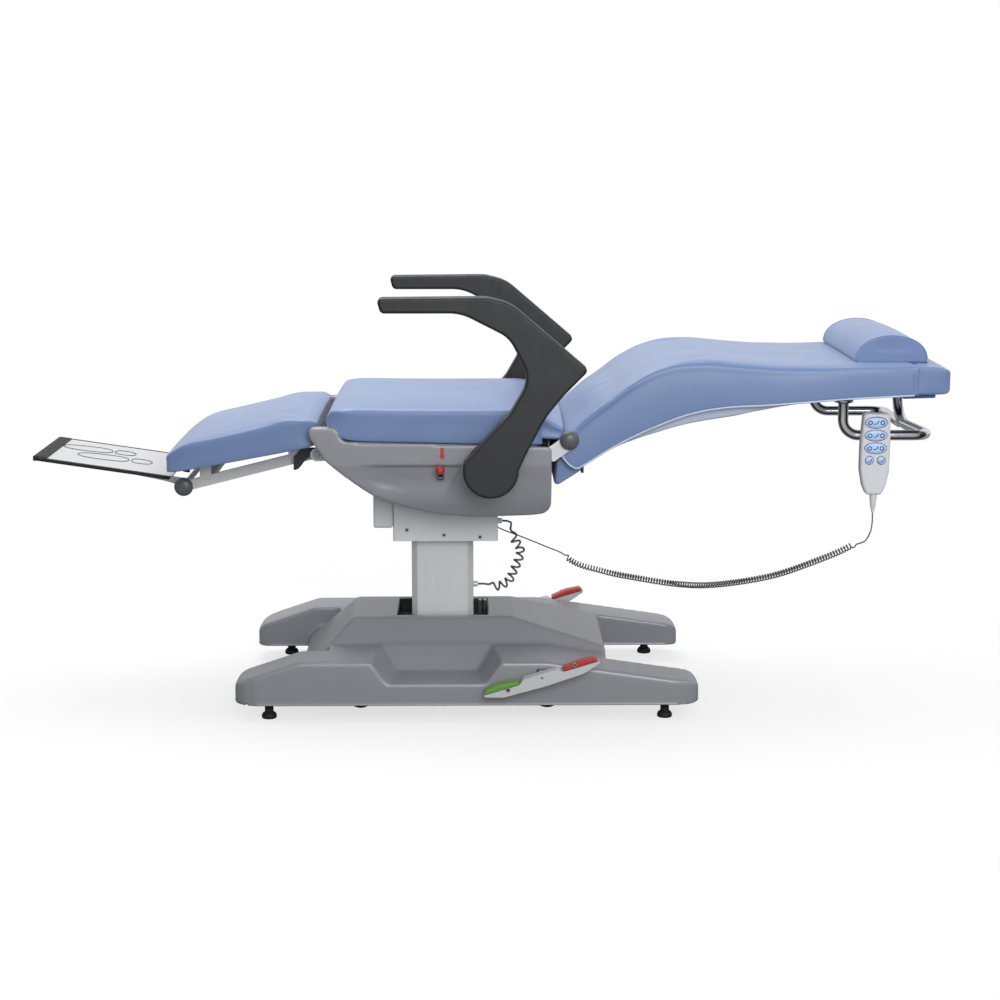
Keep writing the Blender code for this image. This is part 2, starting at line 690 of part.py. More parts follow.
def cover_solid(thin):
    """The base cover's outer form, or, with a wall's thickness, the hollow inside it."""
    bottom = COVER_BOTTOM if thin == 0 else COVER_BOTTOM - COVER_WALL
    corner = LEG_CORNER - thin
    inner = COVER_HALF_WIDTH - LEG_WIDTH + thin
    outer = COVER_HALF_WIDTH - thin
    fall = (RIDGE_TOP - NOTCH_LIP) / (NOTCH_FOOT - RIDGE_FOOT)
    waist = -RIDGE_FOOT - (RIDGE_TOP - LEG_TOP) / fall + thin + 0.002
    notch = NOTCH_HEAD - thin - 0.004
    half = [(-COVER_FOOT + thin, inner, LEG_CORNER / 2), (waist, inner, 0.010), (waist, 0, 0),
            (notch, 0, 0), (notch, inner, 0.010), (COVER_HEAD - thin, inner, LEG_CORNER / 2),
            (COVER_HEAD - thin, outer, corner), (-COVER_FOOT + thin, outer, corner)]
    plan = rounded([*half[3:], *half[:3]])[1:-1]
    plan = [p for p in plan if p[1] > 1e-6]
    plan = plan + [(u, -v) for u, v in reversed(plan)]
    past = thin - 0.001
    side = rounded([(-COVER_FOOT + past, bottom, 0), (COVER_HEAD - past, bottom, 0),
                    (COVER_HEAD - past, LEG_TIP - thin, 0.030), (LEG_LEVEL_HEAD, LEG_TOP - thin, 0.060),
                    (-LEG_LEVEL_FOOT, LEG_TOP - thin, 0.060), (-COVER_FOOT + past, LEG_TIP - thin, 0.030)])
    solid = combine(prism([plan], "Z", bottom - PAST, RIDGE_TOP + PAST),
                    prism([side], "Y", -COVER_HALF_WIDTH - PAST, COVER_HALF_WIDTH + PAST), "INTERSECT")
    solid = bevelled(solid, COVER_ROUND, 2, 50,
                     lambda a, b: min(a.z, b.z) > LEG_TIP * 0.6 and min(abs(a.y), abs(b.y)) > inner + 0.02)
    slope = rounded([(-NOTCH_FOOT + thin, bottom + 0.001, 0), (NOTCH_HEAD - thin, bottom + 0.001, 0),
                     (NOTCH_HEAD - thin, LEG_TOP - thin - 0.006, 0.012),
                     (RIDGE_HEAD, RIDGE_TOP - thin, 0.020), (-RIDGE_FOOT + thin, RIDGE_TOP - thin, 0.020),
                     (-NOTCH_FOOT + thin, NOTCH_LIP - thin, 0.010)])
    ridge = prism([slope], "Y", -inner - 0.001, inner + 0.001)
    bm = bmesh.new()
    bm.from_mesh(ridge.data)
    bpy.data.objects.remove(ridge)
    lean = Vector((0, RIDGE_TOP - LEG_TOP, RIDGE_FLARE)).normalized()
    for hand in (1, -1):
        normal = Vector((0, hand * lean.y, lean.z))
        at = Vector((0, hand * (RIDGE_HALF_WIDTH - thin), RIDGE_TOP - thin))
        cutting = bmesh.ops.bisect_plane(bm, geom=bm.verts[:] + bm.edges[:] + bm.faces[:], plane_co=at,
                                         plane_no=normal, clear_outer=True)
        rim = [e for e in cutting["geom_cut"] if isinstance(e, bmesh.types.BMEdge)]
        bmesh.ops.edgenet_fill(bm, edges=rim)
    solid = union(solid, as_shape(bm))
    floor = SCOOP_FLOOR - thin
    over = RIDGE_TOP + PAST
    lift = SCOOP_SLANT * (over - floor) / (LEG_TOP - SCOOP_FLOOR)
    taper = 0.020
    for hand in (1, -1):
        far = hand * (COVER_HALF_WIDTH + 0.02)
        deep = hand * (SCOOP_REACH + (LEG_TOP - SCOOP_FLOOR) - thin)
        near = hand * (SCOOP_REACH - (over - LEG_TOP) - thin)
        foot = -SCOOP_FOOT + SCOOP_SLANT - thin
        head = SCOOP_HEAD - SCOOP_SLANT + thin
        corners = [(foot, far, floor), (head, far, floor), (foot - lift, far, over), (head + lift, far, over),
                   (foot + taper, deep, floor), (head - taper, deep, floor),
                   (foot + taper - lift, near, over), (head - taper + lift, near, over)]
        solid = cut(solid, hull(corners))
    return solid


def build_base_cover():
    cover = cut(cover_solid(0.0), cover_solid(COVER_WALL))
    well = prism([rectangle(-WELL_HALF_LENGTH, -WELL_HALF_WIDTH, WELL_HALF_LENGTH, WELL_HALF_WIDTH, 0.008)],
                 "Z", LEG_TOP - 0.02, RIDGE_TOP + 0.01)
    reach = COVER_HALF_WIDTH + PAST
    shaft_hole = rod((ROCKER_X, -reach, ROCKER_Z), (ROCKER_X, reach, ROCKER_Z), ROCKER_SHAFT_R + RUN_GAP)
    add_part("base_cover", cut(cover, well, shaft_hole), GREY, "base", 30)


def build_base_frame():
    """Steel rails over the feet, cross beams, the column's plate and collar, and the carriage's guides."""
    top = RAIL_BOTTOM + RAIL_HEIGHT
    plate = COLUMN_FOOT - SEAT_GAP
    reach = FOOT_Y + RAIL_WIDTH / 2
    pieces = []
    for x in (BEAM_FOOT_X, BEAM_HEAD_X):
        pieces.append(box((x - RAIL_WIDTH / 2, -reach, RAIL_BOTTOM), (x + RAIL_WIDTH / 2, reach, top)))
    tips = ((FOOT_X_FOOT - RAIL_WIDTH / 2, BEAM_FOOT_X), (FOOT_X_HEAD + RAIL_WIDTH / 2, BEAM_HEAD_X))
    low_bottom = RAIL_BOTTOM - RAIL_DROP
    half = RAIL_WIDTH / 2 - 0.001
    for hand in (1, -1):
        y = hand * FOOT_Y
        for tip, beam in tips:
            low, high = sorted((tip, beam))
            pieces.append(box((low, y - half, low_bottom), (high, y + half, top - RAIL_DROP)))
            post = half - 0.001
            pieces.append(box((beam - half, y - post, low_bottom + 0.001),
                              (beam + half, y + post, top - 0.001)))
    pieces.append(box((BEAM_FOOT_X, -STEEL_TIE, RAIL_BOTTOM + 0.004), (BEAM_HEAD_X, STEEL_TIE, plate)))
    for x in (CASTOR_FOOT_X, CASTOR_HEAD_X):
        for hand in (1, -1):
            y = hand * GUIDE_Y
            low = CARRIAGE_BOTTOM - CARRIAGE_TRAVEL - RUN_GAP
            pieces.append(rod((x, y, low - 0.004), (x, y, plate - 0.004), GUIDE_R, steps=HIDDEN_STEPS))
            pieces.append(rod((x, y, low - 0.006), (x, y, low), GUIDE_R + GUIDE_HEAD, steps=HIDDEN_STEPS))
    frame = union(*pieces)
    column = COLUMN_SIDE / 2 + SEAT_GAP
    long = WELL_HALF_LENGTH + COLLAR_LAP
    wide = WELL_HALF_WIDTH + COLLAR_LAP
    outer = rectangle(-long, -wide, long, wide, 0.008)
    seat = RIDGE_TOP - COVER_WALL - SEAT_GAP
    collar = prism([outer, rectangle(-column, -column, column, column, 0)], "Z", plate - 0.004, seat)
    long = WELL_HALF_LENGTH - COLLAR_LAP / 4
    wide = WELL_HALF_WIDTH - COLLAR_LAP / 4
    recess = prism([rectangle(-long, -wide, long, wide, 0.006)], "Z", COLLAR_FLOOR, RIDGE_TOP)
    frame = union(frame, cut(collar, recess))
    for x in (FOOT_X_FOOT, FOOT_X_HEAD):
        for hand in (1, -1):
            y = hand * FOOT_Y
            frame = cut(frame, rod((x, y, low_bottom - PAST), (x, y, top), FOOT_STUD_R + AXLE_GAP, steps=10))
    cam_room = CAM_R + 0.014
    for hand in (1, -1):
        y = hand * CAM_Y
        slot = box((ROCKER_X - cam_room, y - CAM_WIDTH, 0.05), (ROCKER_X + cam_room, y + CAM_WIDTH, 0.2))
        frame = cut(frame, slot)
    shaft_way = rod((ROCKER_X, -reach, ROCKER_Z), (ROCKER_X, reach, ROCKER_Z), ROCKER_SHAFT_R + AXLE_GAP)
    add_part("base_frame", cut(frame, shaft_way), STEEL, "base")


def stage_outline(side, chamfer):
    half = side / 2
    near = half - chamfer
    return [(near, -half), (half, -near), (half, near), (near, half),
            (-near, half), (-half, near), (-half, -near), (-near, -half)]


def column_stage(level, top):
    """One square tube of the telescopic column: level 0 is outermost."""
    side = COLUMN_SIDE - 2 * level * (COLUMN_WALL + STAGE_STEP)
    chamfer = COLUMN_CHAMFER
    inner = side - 2 * COLUMN_WALL
    bottom = COLUMN_FOOT + level * STAGE_LAP
    return prism([stage_outline(side, chamfer), stage_outline(inner, chamfer - COLUMN_WALL * 0.6)], "Z",
                 bottom, top)


def build_column_outer():
    column = column_stage(0, COLUMN_TOP)
    face = COLUMN_SIDE / 2
    gland = rod((face - COLUMN_WALL * 0.7, 0, SUPPLY_Z), (face + GLAND_LENGTH, 0, SUPPLY_Z), GLAND_R)
    add_part("column_outer", union(column, gland), ALUMINIUM, "base")


def build_feet():
    places = [(FOOT_X_FOOT, -1), (FOOT_X_FOOT, 1), (FOOT_X_HEAD, -1), (FOOT_X_HEAD, 1)]
    for i, (x, hand) in enumerate(places):
        name = "levelling_foot_%d" % (i + 1)
        at = (x, hand * FOOT_Y, 0)
        make_body("body_" + name, at, "base")
        top = RAIL_BOTTOM + RAIL_HEIGHT - RAIL_DROP - 0.002
        profile = [(0, top), (FOOT_STUD_R, top), (FOOT_STUD_R, FOOT_PAD_H + 0.012),
                   (FOOT_STUD_R * 1.5, FOOT_PAD_H + 0.012), (FOOT_STUD_R * 1.5, FOOT_PAD_H),
                   (FOOT_PAD_R * 0.82, FOOT_PAD_H), (FOOT_PAD_R, FOOT_PAD_H * 0.6), (FOOT_PAD_R * 0.94, 0),
                   (0, 0)]
        add_part(name, turned(profile, at, (0, 0, 1), 10), RUBBER, "body_" + name, 40)


CASTORS = [(CASTOR_FOOT_X, -1), (CASTOR_FOOT_X, 1), (CASTOR_HEAD_X, -1), (CASTOR_HEAD_X, 1)]


def build_carriage():
    """The plate frame that carries the castors and that the rocker's cams press down."""
    make_body("body_carriage", (ROCKER_X, 0, CARRIAGE_BOTTOM), "base")
    top = CARRIAGE_BOTTOM + CARRIAGE_PLATE
    plate = None
    for x in (CASTOR_FOOT_X, CASTOR_HEAD_X):
        half = CARRIAGE_BEAM / 2
        end = CASTOR_Y + half
        beam = prism([rectangle(x - half, -end, x + half, end, 0.014)], "Z", CARRIAGE_BOTTOM, top)
        plate = beam if plate is None else union(plate, beam)
    for hand in (1, -1):
        y = hand * CAM_Y
        rail = box((CASTOR_FOOT_X, y - CAM_WIDTH, CARRIAGE_BOTTOM + 0.001),
                   (CASTOR_HEAD_X, y + CAM_WIDTH, top - 0.001))
        throw = CARRIAGE_TRAVEL / 2 / math.sin(ROCKER_TILT)
        under = ROCKER_Z + throw * math.sin(ROCKER_TILT) - CAM_R - SEAT_GAP
        x = ROCKER_X + throw
        pad = box((x - CAM_PAD, y - CAM_WIDTH / 2, CARRIAGE_BOTTOM + 0.002),
                  (x + CAM_PAD, y + CAM_WIDTH / 2, under))
        plate = union(plate, rail, pad)
    for x, hand in CASTORS:
        y = hand * CASTOR_Y
        g = hand * GUIDE_Y
        plate = cut(plate, rod((x, y, 0.05), (x, y, 0.12), STEM_R + RUN_GAP, steps=HIDDEN_STEPS),
                    rod((x, g, 0.05), (x, g, 0.12), GUIDE_R + AXLE_GAP, steps=HIDDEN_STEPS))
    add_part("castor_carriage", plate, STEEL, "body_carriage")


def build_castors():
    axle_z = WHEEL_LIFT + WHEEL_R
    for i, (x, hand) in enumerate(CASTORS):
        y = hand * CASTOR_Y
        fork_name = "castor_fork_%d" % (i + 1)
        wheel_name = "castor_wheel_%d" % (i + 1)
        make_body("body_" + fork_name, (x, y, axle_z), "body_carriage")
        axle_x = x + CASTOR_TRAIL
        make_body("body_" + wheel_name, (axle_x, y, axle_z), "body_" + fork_name)
        crown = CARRIAGE_BOTTOM - SEAT_GAP
        side = rounded([(axle_x - 0.012, axle_z - 0.012, 0.010), (axle_x + 0.012, axle_z - 0.012, 0.010),
                        (axle_x + 0.012, axle_z + 0.012, 0.008), (x + 0.014, crown - 0.002, 0),
                        (x - 0.014, crown - 0.002, 0), (x - 0.014, crown - 0.010, 0.004)], 2)
        fork = prism([side], "Y", y - FORK_WEB / 2, y + FORK_WEB / 2)
        collar = rod((x, y, crown - 0.006), (x, y, crown), 0.015, steps=10)
        stem_top = CARRIAGE_BOTTOM + CARRIAGE_PLATE + 0.003
        stem = rod((x, y, crown - 0.004), (x, y, stem_top), STEM_R, steps=HIDDEN_STEPS)
        through = FORK_WEB / 2 + PAST
        bore = rod((axle_x, y - through, axle_z), (axle_x, y + through, axle_z), AXLE_R + AXLE_GAP, steps=12)
        add_part(fork_name, cut(union(fork, collar, stem), bore), BLACK, "body_" + fork_name)
        inner = FORK_WEB / 2 + RUN_GAP
        outer = inner + WHEEL_WIDTH
        tread = WHEEL_R - 0.003
        profile = [(0, outer - 0.002), (tread, outer), (WHEEL_R, outer - 0.004), (WHEEL_R, inner + 0.003),
                   (tread, inner), (AXLE_R, inner), (AXLE_R, -inner), (tread, -inner),
                   (WHEEL_R, -inner - 0.003), (WHEEL_R, -outer + 0.004), (tread, -outer), (0, -outer + 0.002)]
        wheel = turned(profile, (axle_x, y, axle_z), (0, 1, 0), 12)
        add_part(wheel_name, wheel, RUBBER, "body_" + wheel_name, 40)


def tilted(x, z):
    """A point on the rocker, given level and from its pivot, at the rocker's rest tilt."""
    c = math.cos(ROCKER_TILT)
    s = math.sin(ROCKER_TILT)
    return (ROCKER_X + x * c - z * s, ROCKER_Z + x * s + z * c)


def build_rocker():
    """A shaft across the base with a bar and two foot pads at each end, and the two cams."""
    make_body("body_rocker", (ROCKER_X, 0, ROCKER_Z), "base")
    inner = COVER_HALF_WIDTH + ROCKER_OFFSET
    outer = inner + ROCKER_WIDTH
    half = ROCKER_LENGTH / 2
    top = ROCKER_HEIGHT * 0.30
    seat = top - PAD_HEIGHT
    ends = rounded([(-half, -0.004, 0.004), (-half * 0.70, -0.016, 0.04), (0, -ROCKER_HEIGHT * 0.62, 0.10),
                    (half * 0.70, -0.016, 0.04), (half, -0.004, 0.006), (half, seat, 0.003),
                    (half - PAD_LENGTH, seat, 0), (half - PAD_LENGTH - 0.010, top, 0.004),
                    (-half + PAD_LENGTH + 0.010, top, 0.004), (-half + PAD_LENGTH, seat, 0),
                    (-half, seat, 0.003)], 2)
    side = [tilted(u, v) for u, v in ends]
    shaft = rod((ROCKER_X, -outer + 0.004, ROCKER_Z), (ROCKER_X, outer - 0.004, ROCKER_Z), ROCKER_SHAFT_R)
    throw = CARRIAGE_TRAVEL / 2 / math.sin(ROCKER_TILT)
    cam_x = ROCKER_X + throw * math.cos(ROCKER_TILT)
    cam_z = ROCKER_Z + throw * math.sin(ROCKER_TILT)
    for hand in (1, -1):
        low, high = sorted((hand * inner, hand * outer))
        bar = bevelled(prism([side], "Y", low, high), 0.002, 1, 60)
        near = hand * CAM_Y - CAM_WIDTH / 2
        cam = rod((cam_x, near, cam_z), (cam_x, near + CAM_WIDTH, cam_z), CAM_R)
        shaft = union(shaft, bar, cam)
    add_part("brake_rocker", shaft, WHITE, "body_rocker")
    for colour, mat, sign in (("red", RED, 1), ("green", GREEN, -1)):
        for place, hand in (("left", -1), ("right", 1)):
            low, high = sorted((hand * (inner - 0.001), hand * (outer + 0.001)))
            pad = [(sign * (half - 0.001), seat + SEAT_GAP),
                   (sign * (half - PAD_LENGTH + 0.001), seat + SEAT_GAP),
                   (sign * (half - PAD_LENGTH + 0.002), seat + PAD_HEIGHT * 0.85),
                   (sign * (half - PAD_LENGTH * 0.5), seat + PAD_HEIGHT * 1.35),
                   (sign * (half - 0.006), seat + PAD_HEIGHT)]
            shape = prism([[tilted(u, v) for u, v in pad]], "Y", low, high)
            add_part("%s_pad_%s" % (colour, place), bevelled(shape, 0.002, 1, 40), mat, "body_rocker")


make_body("lift", (0, 0, HEAD_BOTTOM), "base")


def build_lift():
    make_body("middle", (0, 0, COLUMN_FOOT), "base")
    add_part("column_middle", column_stage(1, COLUMN_TOP + 0.002), ALUMINIUM, "middle")
    head_inside = HEAD_TOP - HEAD_WALL
    add_part("column_inner", column_stage(2, head_inside - SEAT_GAP), ALUMINIUM, "lift")
    outer = bevelled(box((-HEAD_FOOT, -HEAD_HALF_WIDTH, HEAD_BOTTOM), (HEAD_HEAD, HEAD_HALF_WIDTH, HEAD_TOP)),
                     0.006, 2, 60, lambda a, b: max(a.z, b.z) - min(a.z, b.z) > 0.02)
    hollow = box((-HEAD_FOOT + HEAD_WALL, -HEAD_HALF_WIDTH + HEAD_WALL, HEAD_BOTTOM - 0.01),
                 (HEAD_HEAD - HEAD_WALL, HEAD_HALF_WIDTH - HEAD_WALL, head_inside))
    gland = rod((HEAD_HEAD - HEAD_WALL * 0.7, 0, LEAD_TOP_Z), (HEAD_HEAD + GLAND_LENGTH, 0, LEAD_TOP_Z),
                GLAND_R)
    add_part("column_head", union(cut(outer, hollow), gland), WHITE, "lift")
    box_outer = -HEAD_FOOT - SEAT_GAP
    control = bevelled(box((box_outer - BOX_LENGTH, -HEAD_HALF_WIDTH, BOX_BOTTOM),
                           (box_outer, HEAD_HALF_WIDTH, BOX_TOP)), 0.004, 2, 60)
    add_part("control_box", control, WHITE, "lift")
    low = HEAD_TOP + SEAT_GAP
    high = low + BEARING_HEIGHT
    bore = BEARING_R * 0.35
    slim = BEARING_R * 0.92
    ring = [(bore, high), (slim, high), (slim, low + BEARING_HEIGHT * 0.55),
            (BEARING_R, low + BEARING_HEIGHT * 0.45), (BEARING_R, low), (bore, low), (bore, high)]
    add_part("swivel_bearing", turned(ring, (0, 0, 0), (0, 0, 1), 20), STEEL, "lift", 40)


BEARING_TOP = HEAD_TOP + SEAT_GAP + BEARING_HEIGHT
make_body("seat", (0, 0, BEARING_TOP), "lift")
PAN_TOP = SHELL_RIM + 0.001
CORD_GLAND = Vector((0.020, 0.215, PAN_TOP - PAN_THICK - 0.016))


def bracket_outline():
    """Side view of a back hinge bracket: an eye on the hinge axis with a neck to the seat."""
    eye = 0.018
    start = math.radians(-70)
    points = [(BACK_AXIS_X + eye * math.cos(start + k * math.radians(30)),
               BACK_AXIS_Z + eye * math.sin(start + k * math.radians(30))) for k in range(6)]
    neck = SHELL_REAR - 0.026
    return points + [(neck, BACK_AXIS_Z - 0.004), (neck, BACK_AXIS_Z - 0.044),
                     (SHELL_REAR + 0.006, BACK_AXIS_Z - 0.044)]


def leg_bracket_outline():
    eye = 0.014
    start = math.radians(100)
    points = [(LEG_AXIS_X + eye * math.cos(start + k * math.radians(32)),
               LEG_AXIS_Z + eye * math.sin(start + k * math.radians(32))) for k in range(6)]
    return points + [(-0.180, LEG_AXIS_Z - 0.010), (-0.180, PAN_TOP - 0.001), (-0.215, PAN_TOP - 0.008)]


LEG_EAR_Y = LEG_BAR_Y + 0.024


def build_seat_frame():
    """A pan on a pedestal, with the hinge brackets of the back and of the leg rest."""
    plan = rectangle(PAN_FRONT, -PAN_HALF_WIDTH, SHELL_REAR - SHELL_WALL - 0.002, PAN_HALF_WIDTH, 0.010)
    pan = prism([plan], "Z", PAN_TOP - PAN_THICK, PAN_TOP)
    pedestal = rod((0, 0, BEARING_TOP + SEAT_GAP), (0, 0, PAN_TOP - PAN_THICK * 0.5), PEDESTAL_R,
                   PEDESTAL_R * 1.15, 16)
    frame = union(pan, pedestal)
    axle = BACK_STUB_R + AXLE_GAP
    for hand in (1, -1):
        low, high = sorted((hand * BRACKET_INNER, hand * (BRACKET_INNER + BRACKET_THICK)))
        bracket = prism([bracket_outline()], "Y", low, high)
        low, high = sorted((hand * (PAN_HALF_WIDTH - 0.02), hand * (BRACKET_INNER + BRACKET_THICK - 0.001)))
        arm = box((SHELL_REAR - 0.025, low, PAN_TOP - PAN_THICK + 0.001),
                  (SHELL_REAR - 0.005, high, PAN_TOP - 0.001))
        middle = hand * (BRACKET_INNER + BRACKET_THICK / 2)
        eye = rod((BACK_AXIS_X, middle - BRACKET_THICK, BACK_AXIS_Z),
                  (BACK_AXIS_X, middle + BRACKET_THICK, BACK_AXIS_Z), axle, steps=12)
        frame = union(frame, arm, bracket)
        frame = cut(frame, eye)
        low, high = sorted((hand * LEG_EAR_Y, hand * (LEG_EAR_Y + LEG_BAR_THICK)))
        ear = prism([leg_bracket_outline()], "Y", low, high)
        hole = rod((LEG_AXIS_X, low - PAST, LEG_AXIS_Z), (LEG_AXIS_X, high + PAST, LEG_AXIS_Z),
                   LEG_AXLE_R + AXLE_GAP, steps=12)
        frame = union(frame, cut(ear, hole))
    gland = rod(CORD_GLAND, CORD_GLAND + Vector((0, 0, 0.018)), GLAND_R)
    add_part("seat_frame", union(frame, gland), STEEL, "seat")


def shell_outline(front):
    """Side view of the seat's cover, with a raised lip at its front."""
    return rounded([(front, SHELL_LIP, 0.008), (front + 0.030, SHELL_LIP, 0.010),
                    (SHELL_FRONT + 0.062, SHELL_RIM, 0.020), (SHELL_REAR, SHELL_RIM - 0.010, 0.006),
                    (SHELL_REAR, SHELL_BOTTOM + 0.006, 0.030), (0.050, SHELL_BOTTOM - 0.002, 0.200),
                    (-0.070, SHELL_BOTTOM + 0.017, 0.060), (front + 0.004, SHELL_LIP - 0.034, 0.030)])


def tucked(outline, half_width):
    """An outline made solid across the seat, its sides drawn in below the crease."""
    solid = prism([outline], "Y", -half_width, half_width)
    bm = bmesh.new()
    bm.from_mesh(solid.data)
    bpy.data.objects.remove(solid)
    bmesh.ops.bisect_plane(bm, geom=bm.verts[:] + bm.edges[:] + bm.faces[:], plane_co=(0, 0, SHELL_CREASE),
                           plane_no=(0, 0, 1))
    depth = SHELL_CREASE - SHELL_BOTTOM
    for v in bm.verts:
        low = max(0.0, SHELL_CREASE - v.co.z - 1e-6) / depth
        v.co.y -= math.copysign(SHELL_TUCK * low, v.co.y)
    return as_shape(bm)


def build_seat_shell():
    """The moulded cover round the seat's works, open under the cushion and over the lift head."""
    shell = bevelled(tucked(shell_outline(SHELL_FRONT), SHELL_HALF_WIDTH), SHELL_ROUND, 1, 60)
    between = LEG_HALF_WIDTH + CHEEK_GAP
    shell = cut(shell, box((SHELL_FRONT - PAST, -between, SHELL_BOTTOM),
                           (SHELL_MID_FRONT, between, SHELL_LIP + PAST)))
    hollow = tucked(inset(shell_outline(SHELL_MID_FRONT), SHELL_WALL), SHELL_HALF_WIDTH - SHELL_WALL)
    side = PAN_HALF_WIDTH + SEAT_GAP
    top = box((SHELL_FRONT + 0.056, -side, SHELL_RIM - 0.06), (SHELL_REAR - SHELL_WALL, side, SHELL_LIP))
    under = box((-0.080, -SHELL_HALF_WIDTH + SHELL_TUCK + 0.010, SHELL_BOTTOM - 0.02),
                (SHELL_REAR - 0.012, SHELL_HALF_WIDTH - SHELL_TUCK - 0.010, SHELL_BOTTOM + 0.030))
    shell = cut(shell, hollow, top, under)
    for hand in (1, -1):
        boss = rod((ARM_HUB_X, hand * (SHELL_HALF_WIDTH - SHELL_WALL * 0.8), ARM_HUB_Z),
                   (ARM_HUB_X, hand * (ARM_INNER - SEAT_GAP), ARM_HUB_Z), ARM_HUB_R * 0.8, steps=16)
        low, high = sorted((hand * (LEG_EAR_Y - 0.003), hand * (LEG_EAR_Y + LEG_BAR_THICK + 0.003)))
        slot = box((LEG_AXIS_X - 0.02, low, LEG_AXIS_Z - 0.020), (-0.18, high, SHELL_RIM + 0.004))
        beside = BRACKET_INNER + BRACKET_THICK + RUN_GAP
        low, high = sorted((hand * (PAN_HALF_WIDTH - 0.01), hand * beside))
        notch = box((SHELL_REAR - 0.032, low, BACK_AXIS_Z - 0.048),
                    (SHELL_REAR + PAST, high, SHELL_RIM + PAST))
        shell = cut(union(shell, boss), slot, notch)
    side = LEVER_STEM_R + SEAT_GAP
    play = LEVER_STEM_R + RUN_GAP
    slit = box((-side, -SHELL_HALF_WIDTH - PAST, LEVER_Z - LEVER_TRAVEL - play),
               (side, -SHELL_HALF_WIDTH + 0.03, LEVER_Z + play))
    add_part("seat_shell", cut(shell, slit), GREY, "seat", 30)


def build_lever():
    make_body("body_lever", (0, -SHELL_HALF_WIDTH, LEVER_Z), "seat")
    out = SHELL_HALF_WIDTH + 0.012
    knob = [(0, LEVER_KNOB_R), (LEVER_KNOB_R * 0.6, LEVER_KNOB_R * 0.8), (LEVER_KNOB_R, LEVER_KNOB_R * 0.1),
            (LEVER_KNOB_R * 0.85, -LEVER_KNOB_R * 0.5), (LEVER_KNOB_R * 0.5, -LEVER_KNOB_R * 0.8),
            (LEVER_STEM_R, -LEVER_KNOB_R * 0.9), (LEVER_STEM_R, -0.050), (0, -0.050)]
    add_part("swivel_lever", turned(knob, (0, -out, LEVER_Z), (0, -1, 0), 12), RED, "body_lever", 40)


def cushion_ring(x, low, seam, half_width, crown):
    """One cross-section of a cushion: flat under, sides drawn in between two seams, and a crowned top."""
    tall = seam - low
    piping = min(0.010, tall * 0.2)
    half = [(0.0, low), (half_width - piping, low), (half_width, low + piping),
            (half_width - DRAW_IN, low + tall * 0.5), (half_width - piping * 0.4, seam - piping),
            (half_width - piping * 1.6, seam), (half_width * CROWN_KNEE, seam + crown * CROWN_SHARE),
            (0.0, seam + crown)]
    mirror = [(-y, z) for y, z in half[-2:0:-1]]
    return [(x, y, z) for y, z in half + mirror]


SEAT_TOP = [(SEAT_FRONT, SEAT_CREASE - 0.022), (SEAT_FRONT + 0.012, SEAT_CREASE), (0.0, SEAT_CREASE),
            (SEAT_REAR - 0.014, SEAT_CREASE), (SEAT_REAR, SEAT_CREASE - 0.020)]
SEAT_LOW = [(SEAT_FRONT, SHELL_LIP + 0.006), (SEAT_FRONT + 0.006, SHELL_LIP - 0.004),
            (SEAT_FRONT + 0.030, SHELL_RIM + 0.014), (SEAT_FRONT + 0.060, PAN_TOP + 0.0015),
            (SEAT_REAR, PAN_TOP + 0.0005)]


def build_seat_cushion():
    xs = [SEAT_FRONT, SEAT_FRONT + 0.012, SEAT_FRONT + 0.035, SEAT_FRONT + 0.066, -0.08, 0.06,
          SEAT_REAR - 0.03, SEAT_REAR - 0.008, SEAT_REAR]
    rings = []
    for x in xs:
        near_end = min(1.0, (x - SEAT_FRONT) / 0.03, (SEAT_REAR - x) / 0.03)
        half_width = SEAT_HALF_WIDTH - 0.010 * (1 - near_end) ** 2
        rings.append(cushion_ring(x, along(SEAT_LOW, x) if x < -0.1 else PAN_TOP + 0.0005, along(SEAT_TOP, x),
                                  half_width, CROWN * (0.4 + 0.6 * near_end)))
    add_part("seat_cushion", loft(rings), BLUE, "seat", 35)


def arm_outline():
    """Side view: a round hub, a blade that leans back, and a level rest pointing forward."""
    x = ARM_HUB_X
    z = ARM_HUB_Z
    hub = [(x + ARM_HUB_R * math.cos(math.radians(a)), z + ARM_HUB_R * math.sin(math.radians(a)))
           for a in range(165, 361, 28)]
    blade = rounded([(*hub[-1], 0), (x + 0.075, z + 0.040, 0.10), (x + 0.112, z + 0.110, 0.20),
                     (x + 0.146, z + 0.152, 0.10), (x + 0.199, z + 0.206, 0.010),
                     (x + 0.040, ARM_TOP - 0.010, 0.10), (x - 0.010, ARM_TOP + 0.002, 0.08),
                     (ARM_TIP, ARM_TOP, 0.008), (ARM_TIP + 0.008, ARM_TOP - 0.031, 0.010),
                     (x - 0.060, ARM_TOP - 0.031, 0.10), (x + 0.036, ARM_TOP - 0.080, 0.06),
                     (x + 0.080, z + 0.190, 0.06), (x + 0.040, z + 0.120, 0.10), (*hub[0], 0)], 2)
    return hub[1:-1] + blade


def build_armrests():
    for name, hand in (("armrest_left", -1), ("armrest_right", 1)):
        make_body("body_" + name, (ARM_HUB_X, hand * ARM_INNER, ARM_HUB_Z), "seat")
        low, high = sorted((hand * ARM_INNER, hand * (ARM_INNER + ARM_THICK)))
        arm = bevelled(prism([arm_outline()], "Y", low, high), ARM_ROUND, 1, 60)
        add_part(name, arm, BLACK, "body_" + name, 30)


make_body("back", (BACK_AXIS_X, 0, BACK_AXIS_Z), "seat")


def from_hinge(stations, x, z):
    """Side-view stations, measured from a hinge axis, as places from the column's axis and the floor."""
    return [(x + u, z + v) for u, v in stations]


